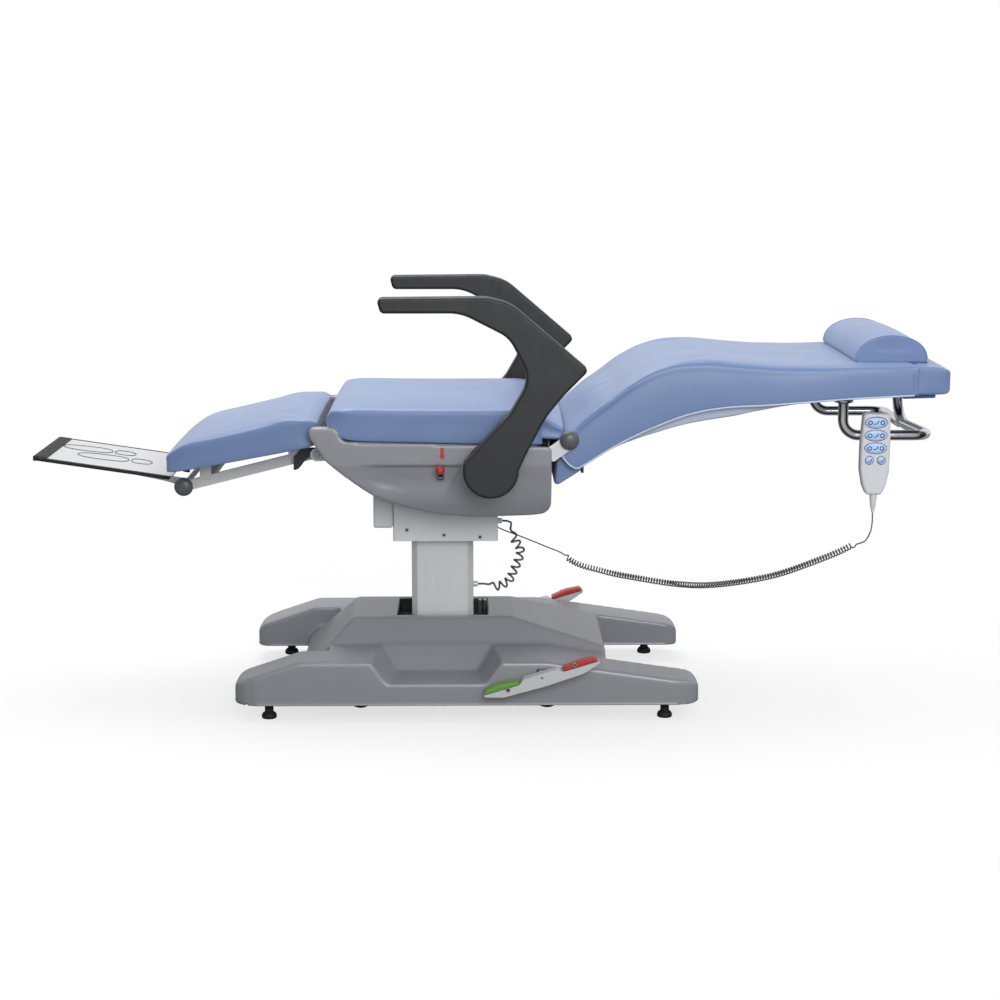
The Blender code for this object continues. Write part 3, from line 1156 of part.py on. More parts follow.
# Side view of the back cushion's upper seam and of its lower edge, from the hinge axis
BACK_SEAM = from_hinge([(0.014, 0.031), (0.053, 0.061), (0.105, 0.097), (0.160, 0.125), (0.216, 0.143),
                        (0.293, 0.152), (0.409, 0.143), (0.476, 0.139), (0.575, 0.145), (BACK_LENGTH, 0.153)],
                       BACK_AXIS_X, BACK_AXIS_Z)
BACK_LOW = from_hinge([(0.014, -0.057), (0.064, -0.032), (0.105, -0.010), (0.172, 0.029), (0.243, 0.054),
                       (0.327, 0.064), (0.493, 0.074), (0.603, 0.081), (BACK_LENGTH, 0.090)],
                      BACK_AXIS_X, BACK_AXIS_Z)
# Underside of the moulded cover behind the cushion
BACK_COVER = from_hinge([(0.033, -0.081), (0.071, -0.061), (0.124, -0.035), (0.183, -0.018), (0.245, -0.003),
                         (0.331, 0.020), (0.417, 0.037), (0.502, 0.054), (0.549, 0.070),
                         (BACK_LENGTH, 0.083)], BACK_AXIS_X, BACK_AXIS_Z)
PLATE_X = BACK_COVER[0][0]


def build_back():
    axle = BACK_AXIS_X
    xs = [axle + u for u in (0.014, 0.023, 0.053, 0.093, 0.133, 0.173, 0.223, 0.283, 0.353, 0.433, 0.513,
                             0.613)]
    xs += [BACK_END - 0.02, BACK_END]
    rings = []
    for x in xs:
        low = along(BACK_LOW, x)
        seam = along(BACK_SEAM, x)
        rings.append(cushion_ring(x, low, seam, BACK_HALF_WIDTH, CROWN))
    add_part("backrest_cushion", loft(rings), BLUE, "back", 35)
    rings = []
    for x, low in BACK_COVER:
        high = along(BACK_LOW, x) - SEAT_GAP - 0.0012
        wide = BACK_HALF_WIDTH - 0.018
        slim = wide - min(0.060, (high - low) * 1.2)
        mid = low + (high - low) * 0.35
        rings.append([(x, y, z) for y, z in ((slim, low), (wide - 0.006, mid), (wide, high), (-wide, high),
                                             (-wide + 0.006, mid), (-slim, low))])
    add_part("backrest_cover", loft(rings), GREY, "back", 30)
    end = BRACKET_INNER - RUN_GAP
    frame = rod((axle, -end, BACK_AXIS_Z), (axle, end, BACK_AXIS_Z), BACK_AXLE_R)
    plate_low = BACK_COVER[0][1] + 0.004
    plate_high = along(BACK_LOW, PLATE_X) - 0.006
    wide = BACK_HALF_WIDTH - 0.040
    frame = union(frame, box((PLATE_X - 0.006, -wide, plate_low), (PLATE_X - SEAT_GAP, wide, plate_high)))
    for hand in (1, -1):
        low, high = sorted((hand * (wide - 0.05), hand * (wide - 0.042)))
        left = axle + 0.002
        right = BACK_SEAM[0][0] - 0.0015
        ear = [(left - 0.004, BACK_AXIS_Z), (left, BACK_AXIS_Z - 0.030), (left, plate_low + 0.002),
               (PLATE_X - 0.001, plate_low + 0.002), (PLATE_X - 0.001, plate_high - 0.002),
               (right, BACK_LOW[0][1] - 0.003), (right, BACK_AXIS_Z - 0.002)]
        frame = union(frame, prism([ear], "Y", low, high))
        stub = rod((axle, hand * (end - 0.003), BACK_AXIS_Z),
                   (axle, hand * (BRACKET_INNER + BRACKET_THICK), BACK_AXIS_Z), BACK_STUB_R)
        frame = union(frame, stub)
    add_part("backrest_frame", frame, STEEL, "back")
    flap_x = axle - FLAP_LEAN
    flap_z = BACK_AXIS_Z - FLAP_DROP
    tail = rounded([(axle - 0.009, BACK_AXIS_Z - FLAP_TOP, 0.004), (flap_x, flap_z, 0.010),
                    (PLATE_X - 0.001, plate_low - 0.010, 0.004), (PLATE_X - 0.001, plate_low - SEAT_GAP, 0),
                    (PLATE_X - 0.006, plate_low - SEAT_GAP, 0),
                    (flap_x + FLAP_THICK, flap_z + FLAP_THICK, 0.006),
                    (axle + 0.001, BACK_AXIS_Z - FLAP_TOP - 0.006, 0.004)])
    flap = prism([tail], "Y", -wide + 0.002, wide - 0.002)
    add_part("backrest_flap", flap, BLUE, "back")


def build_head_end():
    start = BACK_END + SEAT_GAP
    low = BACK_LOW[-1][1]
    seam = BACK_SEAM[-1][1]
    rings = []
    for share, shrink in ((0.0, 0.0), (0.45, 0.0), (0.75, 0.006), (0.92, 0.016), (1.0, 0.028)):
        rings.append(cushion_ring(start + HOOD_LENGTH * share, low + shrink * 0.8, seam - shrink,
                                  BACK_HALF_WIDTH - shrink * 0.6, CROWN * (1 - share * 0.6)))
    add_part("headrest_hood", loft(rings), BLUE, "back", 35)
    count = 9
    rest_low = seam - 0.002

    def rest_at(x, y):
        share = abs(y) / BACK_HALF_WIDTH
        if share < CROWN_KNEE:
            bulge = 1 - (1 - CROWN_SHARE) * share / CROWN_KNEE
        else:
            bulge = CROWN_SHARE * (1 - share) / (1 - CROWN_KNEE)
        return max(along(BACK_SEAM, min(x, BACK_END)), rest_low) + CROWN * bulge + PILLOW_GAP

    knee = CROWN_KNEE * BACK_HALF_WIDTH / PILLOW_HALF_WIDTH

    rings = []
    for y_share, size in ((-1.0, 0.55), (-0.97, 0.80), (-0.90, 0.95), (-knee, 1.0), (0.0, 1.03), (knee, 1.0),
                          (0.90, 0.95), (0.97, 0.80), (1.0, 0.55)):
        y = PILLOW_HALF_WIDTH * y_share
        centre = (PILLOW_FOOT + PILLOW_HEAD) / 2
        reach = (PILLOW_HEAD - PILLOW_FOOT) / 2 * (0.9 + 0.1 * size)
        ring = []
        for k in range(count):
            angle = math.pi * k / (count - 1)
            x = centre + reach * math.cos(angle)
            ring.append((x, y, rest_at(x, y) + PILLOW_HEIGHT * size * math.sin(angle) ** 0.8 + 0.002))
        for k in (1, 0, -1):
            x = centre + reach * 0.5 * -k
            ring.append((x, y, rest_at(x, y)))
        rings.append(ring)
    add_part("headrest_pillow", loft(rings), BLUE, "back", 40)


def bent(points, radius, steps=4):
    """A path whose inner corners are turned into arcs of a radius."""
    result = [Vector(points[0])]
    for a, b, c in zip(points, points[1:], points[2:]):
        b = Vector(b)
        back = (Vector(a) - b).normalized()
        ahead = (Vector(c) - b).normalized()
        half = back.angle(ahead) / 2
        reach = radius / math.tan(half)
        middle = b + (back + ahead).normalized() * (radius / math.sin(half))
        first = b + back * reach - middle
        last = b + ahead * reach - middle
        sweep = first.angle(last)
        for k in range(steps + 1):
            early = math.sin(sweep * (1 - k / steps))
            late = math.sin(sweep * k / steps)
            result.append(middle + (first * early + last * late) / math.sin(sweep))
    result.append(Vector(points[-1]))
    return result


def build_push_bar():
    top = straight_along(BACK_COVER, BAR_X) - SEAT_GAP
    post = top - FLANGE_HEIGHT / 2
    grip = BAR_END - BAR_R
    corners = [(BAR_X, -BAR_Y, post), (BAR_X, -BAR_Y, BAR_Z), (grip, -BAR_Y, BAR_Z),
               (grip, BAR_Y, BAR_Z), (BAR_X, BAR_Y, BAR_Z), (BAR_X, BAR_Y, post)]
    bar = tube(bent(corners, BAR_BEND), BAR_R, 3)
    run, rise = Vector(BACK_COVER[-1]) - Vector(BACK_COVER[-2])
    lean = Vector((-rise, 0, run)).normalized()
    for hand in (1, -1):
        at = Vector((BAR_X, hand * BAR_Y, top))
        bar = union(bar, rod(at - lean * FLANGE_HEIGHT, at, FLANGE_R))
    add_part("push_bar", bar, CHROME, "back", 40)


HAND_FRONT = -BAR_Y - BAR_R - 0.002 - HAND_THICK
HAND_BACK = HAND_FRONT + HAND_THICK


def build_hand_control():
    """A tapered hand piece that hangs by a hook on the push bar, with three rocker keys and two push keys."""
    low = HAND_TOP - HAND_LENGTH
    half = HAND_WIDTH / 2
    tail = HAND_TAIL / 2
    waist = low + HAND_NECK
    front = rounded([(HAND_X - half, HAND_TOP, 0.008), (HAND_X - half, waist, 0.030),
                     (HAND_X - tail, low, 0.008), (HAND_X + tail, low, 0.008),
                     (HAND_X + half, waist, 0.030), (HAND_X + half, HAND_TOP, 0.008)])
    shell = bevelled(prism([front], "Y", HAND_FRONT, HAND_BACK), 0.004, 1, 60)
    reach = BAR_R + SEAT_GAP
    over = BAR_Z + reach + HOOK_WALL * 1.5
    behind = -BAR_Y + reach + HOOK_WALL
    lip = BAR_Z - HOOK_WALL
    hook = [(HAND_BACK - 0.002, BAR_Z - BAR_R * 2), (HAND_BACK - 0.002, over), (behind, over), (behind, lip),
            (behind - HOOK_WALL, lip), (behind - HOOK_WALL, BAR_Z + reach), (HAND_BACK, BAR_Z + reach),
            (HAND_BACK, BAR_Z - BAR_R * 2)]
    shell = union(shell, prism([hook], "X", HAND_X - HOOK_HALF_WIDTH, HAND_X + HOOK_HALF_WIDTH))
    centre = (HAND_FRONT + HAND_BACK) / 2
    boot = [(0, 0.004), (BOOT_R, 0.004), (BOOT_R, -0.004), (BOOT_R * 0.85, -BOOT_LENGTH * 0.5),
            (CORD_R * 1.9, -BOOT_LENGTH), (0, -BOOT_LENGTH)]
    shell = union(shell, turned(boot, (HAND_X, centre, low), (0, 0, 1), 10))
    for i in range(3):
        z = HAND_TOP - KEY_TOP - i * KEY_PITCH
        pocket = prism([key_outline(z, KEY_PLAY)], "Y", HAND_FRONT - PAST, HAND_FRONT + KEY_POCKET)
        shell = cut(shell, pocket)
    for sign in (-1, 1):
        at = push_key_at(sign)
        pocket = rod(at - Vector((0, PAST, 0)), at + Vector((0, KEY_POCKET, 0)), PUSH_KEY_R + KEY_PLAY,
                     steps=12)
        shell = cut(shell, pocket)
    add_part("handset_body", shell, PALE, "back", 40)
    for i in range(3):
        z = HAND_TOP - KEY_TOP - i * KEY_PITCH
        name = "rocker_key_%d" % (i + 1)
        make_body("body_" + name, (HAND_X, HAND_FRONT + 0.002, z), "back")
        key = prism([key_outline(z, 0.0)], "Y", HAND_FRONT - KEY_STAND, HAND_FRONT + KEY_ROOT)
        add_part(name, key, KEY_BLUE, "body_" + name)
    for i, sign in enumerate((-1, 1)):
        at = push_key_at(sign)
        name = "push_key_%d" % (i + 1)
        make_body("body_" + name, (at.x, HAND_FRONT, at.z), "back")
        key = rod(at - Vector((0, KEY_STAND, 0)), at + Vector((0, KEY_ROOT, 0)), PUSH_KEY_R, steps=12)
        add_part(name, key, KEY_BLUE, "body_" + name)


def key_outline(z, grow):
    """An oval key's outline, centred at a height on the hand control."""
    half = KEY_LENGTH / 2 + grow
    tall = KEY_HEIGHT / 2 + grow
    turns = [2 * math.pi * k / KEY_STEPS for k in range(KEY_STEPS)]
    return [(HAND_X + half * math.cos(t), z + tall * math.sin(t)) for t in turns]


def push_key_at(sign):
    return Vector((HAND_X + sign * 0.0125, HAND_FRONT, HAND_TOP - KEY_TOP - 2 * KEY_PITCH - 0.0255))


make_body("leg", (LEG_AXIS_X, 0, LEG_AXIS_Z), "seat")
# Side view of the leg cushion's upper seam and of its underside, from the hinge axis
LEG_SEAM = from_hinge([(-LEG_REACH, 0.010), (-LEG_REACH + 0.040, 0.030), (-0.175, 0.053), (-0.070, 0.078),
                       (-0.029, 0.085), (LEG_OVER, 0.080)], LEG_AXIS_X, LEG_AXIS_Z)
LEG_LOW = from_hinge([(-LEG_REACH, -0.032), (-0.158, -0.005), (LEG_OVER, 0.026)], LEG_AXIS_X, LEG_AXIS_Z)


def build_leg_rest():
    rings = []
    under = []
    for x in (LEG_FRONT, LEG_FRONT + 0.012, LEG_FRONT + 0.04, LEG_AXIS_X - 0.198, LEG_AXIS_X - 0.118,
              LEG_AXIS_X - 0.048, LEG_REAR - 0.02, LEG_REAR - 0.005, LEG_REAR):
        near_end = min(1.0, (x - LEG_FRONT) / 0.03, (LEG_REAR - x) / 0.03)
        half_width = LEG_HALF_WIDTH - 0.008 * (1 - near_end) ** 2
        drop = 0.006 * (1 - near_end) ** 2
        under.append((x, along(LEG_LOW, x) + drop * 0.5))
        rings.append(cushion_ring(x, under[-1][1], along(LEG_SEAM, x) - drop, half_width,
                                  CROWN * (0.4 + 0.6 * near_end)))
    add_part("legrest_cushion", loft(rings), BLUE, "leg", 35)
    span = Vector((STEP_AXIS_X - LEG_AXIS_X, STEP_AXIS_Z - LEG_AXIS_Z))
    run = span.normalized()
    up = Vector((-run.y, run.x)) if run.x > 0 else Vector((run.y, -run.x))
    half = LEG_BAR_HEIGHT / 2
    start = Vector((LEG_AXIS_X, LEG_AXIS_Z))
    side = LEG_EAR_Y + LEG_BAR_THICK
    frame = rod((LEG_AXIS_X, -side, LEG_AXIS_Z), (LEG_AXIS_X, side, LEG_AXIS_Z), LEG_AXLE_R)
    end = start + span
    corners = [start + (up - run) * half, start - (up + run) * half,
               end + (run - up) * half, end + (run + up) * half]
    outline = rounded([(*corner, half * 0.9) for corner in corners])
    for hand in (1, -1):
        low, high = sorted((hand * (LEG_BAR_Y - LEG_BAR_THICK / 2), hand * (LEG_BAR_Y + LEG_BAR_THICK / 2)))
        frame = union(frame, prism([outline], "Y", low, high))
    for share in (0.17, 0.83):
        at = start + span * share
        foot = at + up * (half * 0.4)
        left = foot.x - POST_HALF
        right = foot.x + POST_HALF
        side_view = [(left, foot.y), (right, foot.y), (right, straight_along(under, right) - SEAT_GAP * 1.4),
                     (left, straight_along(under, left) - SEAT_GAP * 1.4)]
        for hand in (1, -1):
            y = hand * LEG_BAR_Y
            frame = union(frame, prism([side_view], "Y", y - LEG_BAR_THICK, y + LEG_BAR_THICK))
    tie = start + span * 0.83
    frame = union(frame, box((tie.x - 0.008, -LEG_BAR_Y, tie.y - 0.006),
                             (tie.x + 0.008, LEG_BAR_Y, tie.y + 0.006)))
    eye = rod((STEP_AXIS_X, -side, STEP_AXIS_Z), (STEP_AXIS_X, side, STEP_AXIS_Z), STEP_AXLE_R + AXLE_GAP)
    add_part("legrest_frame", cut(frame, eye), STEEL, "leg")


make_body("step", (STEP_AXIS_X, 0, STEP_AXIS_Z), "leg")


def on_step(u, v):
    """A point u along the foot plate from its hinge and v above its underside's line, in side view."""
    c = math.cos(STEP_TILT)
    s = math.sin(STEP_TILT)
    return (STEP_AXIS_X - u * c + v * s, STEP_AXIS_Z + u * s + v * c)


def laid_on_step(outlines, low, high):
    """Plan outlines (u along the plate, y across) made solid between two heights over the hinge line."""
    shape = prism(outlines, "Z", low, high)
    turn = Matrix.Rotation(STEP_TILT, 4, "Y") @ Matrix.Scale(-1, 4, (1, 0, 0))
    shape.data.transform(Matrix.Translation((STEP_AXIS_X, 0, STEP_AXIS_Z)) @ turn)
    bm = bmesh.new()
    bm.from_mesh(shape.data)
    bpy.data.objects.remove(shape)
    return as_shape(bm)


def build_foot_plate():
    near = STEP_NEAR
    far = near + STEP_LENGTH
    low = STEP_RISE
    edge = RIM_WIDTH + SEAT_GAP
    plan = rectangle(near, -STEP_HALF_WIDTH + edge, far - edge, STEP_HALF_WIDTH - edge, 0.004)
    plate = laid_on_step([plan], low, low + STEP_THICK)
    add_part("footplate", plate, PALE, "step")
    inner = STEP_HALF_WIDTH - RIM_WIDTH
    start = near + 0.002
    end = far - RIM_WIDTH
    around = [(start, STEP_HALF_WIDTH, 0.004), (far, STEP_HALF_WIDTH, 0.016), (far, -STEP_HALF_WIDTH, 0.016),
              (start, -STEP_HALF_WIDTH, 0.004), (start, -inner, 0), (end, -inner, 0.004), (end, inner, 0.004),
              (start, inner, 0)]
    rim = laid_on_step([rounded(around)], low - 0.003, low - 0.003 + RIM_HEIGHT)
    add_part("footplate_rim", bevelled(rim, 0.0015, 1, 60), RUBBER, "step")
    axle = rod((STEP_AXIS_X, -LEG_BAR_Y - LEG_BAR_THICK / 2, STEP_AXIS_Z),
               (STEP_AXIS_X, LEG_BAR_Y + LEG_BAR_THICK / 2, STEP_AXIS_Z), STEP_AXLE_R)
    side = [on_step(-STEP_EYE, -STEP_EYE), on_step(STEP_ARM_KNEE, low - STEP_ARM_DEEP),
            on_step(STEP_ARM_LENGTH, low - STEP_ARM_DEEP / 3), on_step(STEP_ARM_LENGTH, low - SEAT_GAP),
            on_step(near + 0.002, low - SEAT_GAP), on_step(-STEP_EYE, STEP_EYE)]
    for hand in (1, -1):
        y = hand * (LEG_BAR_Y - STEP_ARM_INSET)
        axle = union(axle, prism([side], "Y", y - STEP_ARM_THICK / 2, y + STEP_ARM_THICK / 2))
    add_part("footplate_bracket", axle, STEEL, "step")


def build_knobs():
    """Clamp knobs: smooth domes on the back's hinge and fluted ones on the foot plate's hinge."""
    for name, hand in (("back_knob_left", -1), ("back_knob_right", 1)):
        y = hand * (BRACKET_INNER + BRACKET_THICK + SEAT_GAP)
        make_body("body_" + name, (BACK_AXIS_X, y, BACK_AXIS_Z), "seat")
        profile = [(0, KNOB_HEIGHT), (KNOB_R * 0.55, KNOB_HEIGHT * 0.92), (KNOB_R * 0.88, KNOB_HEIGHT * 0.62),
                   (KNOB_R, KNOB_HEIGHT * 0.2), (KNOB_R * 0.96, 0), (0, 0)]
        knob = turned(profile, (BACK_AXIS_X, y, BACK_AXIS_Z), (0, hand, 0), 18)
        add_part(name, knob, BLACK, "body_" + name, 40)
    for name, hand in (("foot_knob_left", -1), ("foot_knob_right", 1)):
        y = hand * (LEG_BAR_Y + LEG_BAR_THICK / 2 + SEAT_GAP)
        make_body("body_" + name, (STEP_AXIS_X, y, STEP_AXIS_Z), "leg")
        flutes = 9
        points = flutes * 3
        outline = []
        for k in range(points):
            angle = 2 * math.pi * k / points
            radius = KNOB_R * (0.94 + 0.06 * math.cos(flutes * angle))
            outline.append((STEP_AXIS_X + radius * math.cos(angle), STEP_AXIS_Z + radius * math.sin(angle)))
        low, high = sorted((y, y + hand * KNOB_HEIGHT))
        knob = prism([outline], "Y", low, high)
        add_part(name, bevelled(knob, 0.002, 1, 60), BLACK, "body_" + name)


def build_hand_cord():
    """From a gland under the seat's pan past the lift head, curled, then up to the hand control's boot."""
    boot_end = Vector((HAND_X, (HAND_FRONT + HAND_BACK) / 2, HAND_TOP - HAND_LENGTH - BOOT_LENGTH - SEAT_GAP))
    start = CORD_GLAND - Vector((0, 0, SEAT_GAP))
    down = Vector((0, 0, -1))
    head = [start, start + down * CORD_R * 2, start + down * 0.06, Vector((0.024, 0.214, 0.450)),
            Vector((0.050, 0.209, 0.380)), Vector((0.122, 0.200, 0.318)), Vector((0.176, 0.198, 0.296)),
            Vector((0.233, 0.190, 0.274)), Vector((0.276, 0.180, 0.256))]
    coil = [Vector((0.276, 0.180, 0.256)), Vector((0.290, 0.176, 0.245)), Vector((0.363, 0.150, 0.224)),
            Vector((0.445, 0.100, 0.217)), Vector((0.525, 0.050, 0.215)), Vector((0.576, 0.000, 0.223)),
            Vector((0.651, -0.060, 0.244)), Vector((0.725, -0.110, 0.271)), Vector((0.797, -0.160, 0.310)),
            Vector((0.845, -0.190, 0.338)), Vector((0.880, -0.208, 0.360))]
    tail = [Vector((0.880, -0.208, 0.360)), Vector((0.894, -0.214, 0.366)), Vector((0.905, -0.2195, 0.385)),
            boot_end + down * 0.022, boot_end + down * CORD_R * 2, boot_end]
    points = smooth_route(head, 0.016)[:-1]
    points += curls(coil, CORD_COIL_R, CORD_CURLS)[:-1]
    points += smooth_route(tail, 0.010)
    print("hand cord least self gap %.2f mm" % (least_self_gap(points, CORD_R, CORD_COIL_R * 4) * 1000))
    add_part("handset_cord", tube(points, CORD_R, 1), CORD_GREY, "seat")


def build_supply_cord():
    """A loose curly lead from the lift head down to the column's foot."""
    start = Vector((HEAD_HEAD + GLAND_LENGTH + SEAT_GAP, 0, LEAD_TOP_Z))
    finish = Vector((COLUMN_SIDE / 2 + GLAND_LENGTH + SEAT_GAP, 0, SUPPLY_Z))
    out = Vector((1, 0, 0))
    head = [start, start + out * LEAD_R * 2, Vector((0.152, 0, 0.366)), Vector((0.150, 0, 0.352))]
    coil = [Vector((0.150, 0, 0.352)), Vector((0.158, 0, 0.330)), Vector((0.172, 0, 0.305)),
            Vector((0.166, 0, 0.278)), Vector((0.156, 0, 0.256)), Vector((0.148, 0, 0.238)),
            Vector((0.132, 0, 0.226)), Vector((0.108, 0, 0.222))]
    tail = [Vector((0.108, 0, 0.222)), Vector((0.094, 0, 0.226)), finish + out * LEAD_R * 2, finish]
    points = smooth_route(head, 0.008)[:-1]
    points += curls(coil, LEAD_COIL_R, LEAD_CURLS)[:-1]
    points += smooth_route(tail, 0.008)
    print("supply cord least self gap %.2f mm" % (least_self_gap(points, LEAD_R, LEAD_COIL_R * 4) * 1000))
    add_part("supply_cord", tube(points, LEAD_R, 1), CORD_GREY, "base")


build_base_cover()
build_base_frame()
build_column_outer()
build_feet()
build_carriage()
build_castors()
build_rocker()
build_lift()
build_seat_frame()
build_seat_shell()
build_lever()
build_seat_cushion()
build_armrests()
build_back()
build_head_end()
build_push_bar()
build_hand_control()
build_leg_rest()
build_foot_plate()
build_knobs()
build_hand_cord()
build_supply_cord()

# Centre the chair over its own length, cords left out
bpy.context.view_layer.update()
solids = [o for o in chair.objects if o.type == "MESH" and not o.name.endswith("_cord")]
reach = [(o.matrix_world @ Vector(c)).x for o in solids for c in o.bound_box]
bodies["base"].location.x = -(min(reach) + max(reach)) / 2
bpy.context.view_layer.update()
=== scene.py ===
import math

import bmesh
import bpy
import numpy as np
from mathutils import Matrix, Vector


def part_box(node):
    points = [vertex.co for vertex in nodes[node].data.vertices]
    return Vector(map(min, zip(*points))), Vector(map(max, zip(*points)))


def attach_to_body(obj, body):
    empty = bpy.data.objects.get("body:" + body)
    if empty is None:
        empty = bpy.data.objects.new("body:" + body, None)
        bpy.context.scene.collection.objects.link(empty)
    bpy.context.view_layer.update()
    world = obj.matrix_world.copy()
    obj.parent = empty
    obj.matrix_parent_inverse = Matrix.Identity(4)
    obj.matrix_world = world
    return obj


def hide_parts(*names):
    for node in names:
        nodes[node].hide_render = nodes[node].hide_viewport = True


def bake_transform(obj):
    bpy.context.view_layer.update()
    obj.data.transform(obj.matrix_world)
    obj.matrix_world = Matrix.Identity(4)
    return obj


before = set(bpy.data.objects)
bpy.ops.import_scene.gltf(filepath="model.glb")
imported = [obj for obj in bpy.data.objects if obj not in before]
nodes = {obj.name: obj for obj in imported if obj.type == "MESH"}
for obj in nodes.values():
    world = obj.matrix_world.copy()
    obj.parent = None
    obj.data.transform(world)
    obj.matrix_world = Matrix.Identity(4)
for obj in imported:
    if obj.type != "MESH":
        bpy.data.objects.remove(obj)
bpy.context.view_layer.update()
print("frame loaded:", len(nodes), "nodes")


# camera, floor and light

cameraSet = {
    "place": (-0.0203, -4.4, 1.2195),   # metres, in the chair's frame
    "down": math.radians(10.332),
    "right": math.radians(0.696),
    "lens": 72.86,                      # mm
    "sensor": 36.0,
}
lightSet = {
    "floorSize": 30.0,
    "floor": "#F6F6F6",
    "bounce": "#8C8C8C",                # what the floor gives back to the chair
    "fade": (0.5, 1.5),                 # metres from the middle where the floor turns to plain white
    "shadow": 0.30,                     # how much of the shadow near the chair shows
    "sky": "#FFFFFF",
    "skyFront": 0.30,                   # strength from the camera's side and from behind the chair
    "skyBack": 0.80,
    "skyTurn": (-0.5, 0.6),             # where along Y the one turns into the other
    "aim": (0, 0, 0.5),
    "top": {"place": (-0.55, 0.60, 2.8), "size": 1.6, "power": 44.0},
    "front": {"place": (0.7, -4.2, 2.0), "size": 2.2, "power": 112.0},
    "head": {"place": (2.6, -1.2, 2.4), "size": 1.4, "power": 18.0},
}


def linear(hexColour):
    parts = [int(hexColour[i:i + 2], 16) / 255 for i in (1, 3, 5)]
    return [p / 12.92 if p <= 0.04045 else ((p + 0.055) / 1.055) ** 2.4 for p in parts] + [1.0]


# adds a node, sets its properties or inputs by name or number, and links its inputs
def addNode(tree, kind, settings=None, links=None):
    node = tree.nodes.new(kind)
    for key, value in (settings or {}).items():
        if isinstance(key, str) and hasattr(node, key):
            setattr(node, key, value)
        else:
            node.inputs[key].default_value = value
    for key, source in (links or {}).items():
        tree.links.new(source, node.inputs[key])
    return node


# white to the camera, with only a trace of shadow, and grey to the chair
def makeFloor():
    bpy.ops.mesh.primitive_plane_add(size=lightSet["floorSize"], location=(0, 0, 0))
    floor = bpy.context.object
    floor.name = "floor"
    material = bpy.data.materials.new("pale matt studio floor")
    material.use_nodes = True
    tree = material.node_tree
    seen = addNode(tree, "ShaderNodeLightPath").outputs["Is Camera Ray"]
    colour = addNode(tree, "ShaderNodeMix", {"data_type": "RGBA", 6: linear(lightSet["bounce"]),
                                             7: linear(lightSet["floor"])}, {0: seen})
    shader = tree.nodes["Principled BSDF"]
    shader.inputs["Roughness"].default_value = 0.9
    shader.inputs["Specular IOR Level"].default_value = 0.1
    tree.links.new(colour.outputs[2], shader.inputs["Base Color"])
    place = addNode(tree, "ShaderNodeTexCoord").outputs["Object"]
    reach = addNode(tree, "ShaderNodeVectorMath", {"operation": "LENGTH"}, {0: place}).outputs["Value"]
    near, far = lightSet["fade"]
    fade = addNode(tree, "ShaderNodeMapRange",
                   {"From Min": near, "From Max": far, "To Min": 1 - lightSet["shadow"], "To Max": 1.0},
                   {"Value": reach}).outputs["Result"]
    share = addNode(tree, "ShaderNodeMath", {"operation": "MULTIPLY"}, {0: fade, 1: seen}).outputs["Value"]
    glow = addNode(tree, "ShaderNodeEmission", {"Color": (1, 1, 1, 1), "Strength": 1.0}).outputs["Emission"]
    mix = addNode(tree, "ShaderNodeMixShader", {}, {0: share, 1: shader.outputs["BSDF"], 2: glow})
    tree.links.new(mix.outputs["Shader"], tree.nodes["Material Output"].inputs["Surface"])
    floor.data.materials.append(material)


def makeStage():
    scene = bpy.context.scene
    scene.view_settings.view_transform = "Standard"
    data = bpy.data.cameras.new("camera")
    data.lens = cameraSet["lens"]
    data.sensor_width = cameraSet["sensor"]
    camera = bpy.data.objects.new("camera", data)
    scene.collection.objects.link(camera)
    camera.location = cameraSet["place"]
    camera.rotation_euler = (math.pi / 2 - cameraSet["down"], 0, -cameraSet["right"])
    scene.camera = camera
    makeFloor()
    world = bpy.data.worlds.new("soft studio")
    world.use_nodes = True
    tree = world.node_tree
    seen = addNode(tree, "ShaderNodeLightPath").outputs["Is Camera Ray"]
    way = addNode(tree, "ShaderNodeTexCoord").outputs["Generated"]
    along = addNode(tree, "ShaderNodeSeparateXYZ", {}, {"Vector": way}).outputs["Y"]
    near, far = lightSet["skyTurn"]
    glow = addNode(tree, "ShaderNodeMapRange",
                   {"interpolation_type": "SMOOTHSTEP", "From Min": near, "From Max": far,
                    "To Min": lightSet["skyFront"], "To Max": lightSet["skyBack"]}, {"Value": along})
    strength = addNode(tree, "ShaderNodeMix", {"data_type": "FLOAT", 3: 1.0},
                       {0: seen, 2: glow.outputs["Result"]})
    sky = tree.nodes["Background"]
    sky.inputs["Color"].default_value = linear(lightSet["sky"])
    tree.links.new(strength.outputs[0], sky.inputs["Strength"])
    scene.world = world
    for name in ("top", "front", "head"):
        lamp = lightSet[name]
        data = bpy.data.lights.new(name + " light", "AREA")
        data.energy = lamp["power"]
        data.size = lamp["size"]
        light = bpy.data.objects.new(name + " light", data)
        scene.collection.objects.link(light)
        light.location = lamp["place"]
        aim = Vector(lightSet["aim"]) - Vector(lamp["place"])
        light.rotation_euler = aim.to_track_quat("-Z", "Y").to_euler()
    print("stage: camera, floor, sky and three soft lights")


makeStage()


# materials: name, colour, (roughness, swing), mottle (patch mm, share), grain (mm, depth mm) and extras;
# the note over a row says what it gives the eye

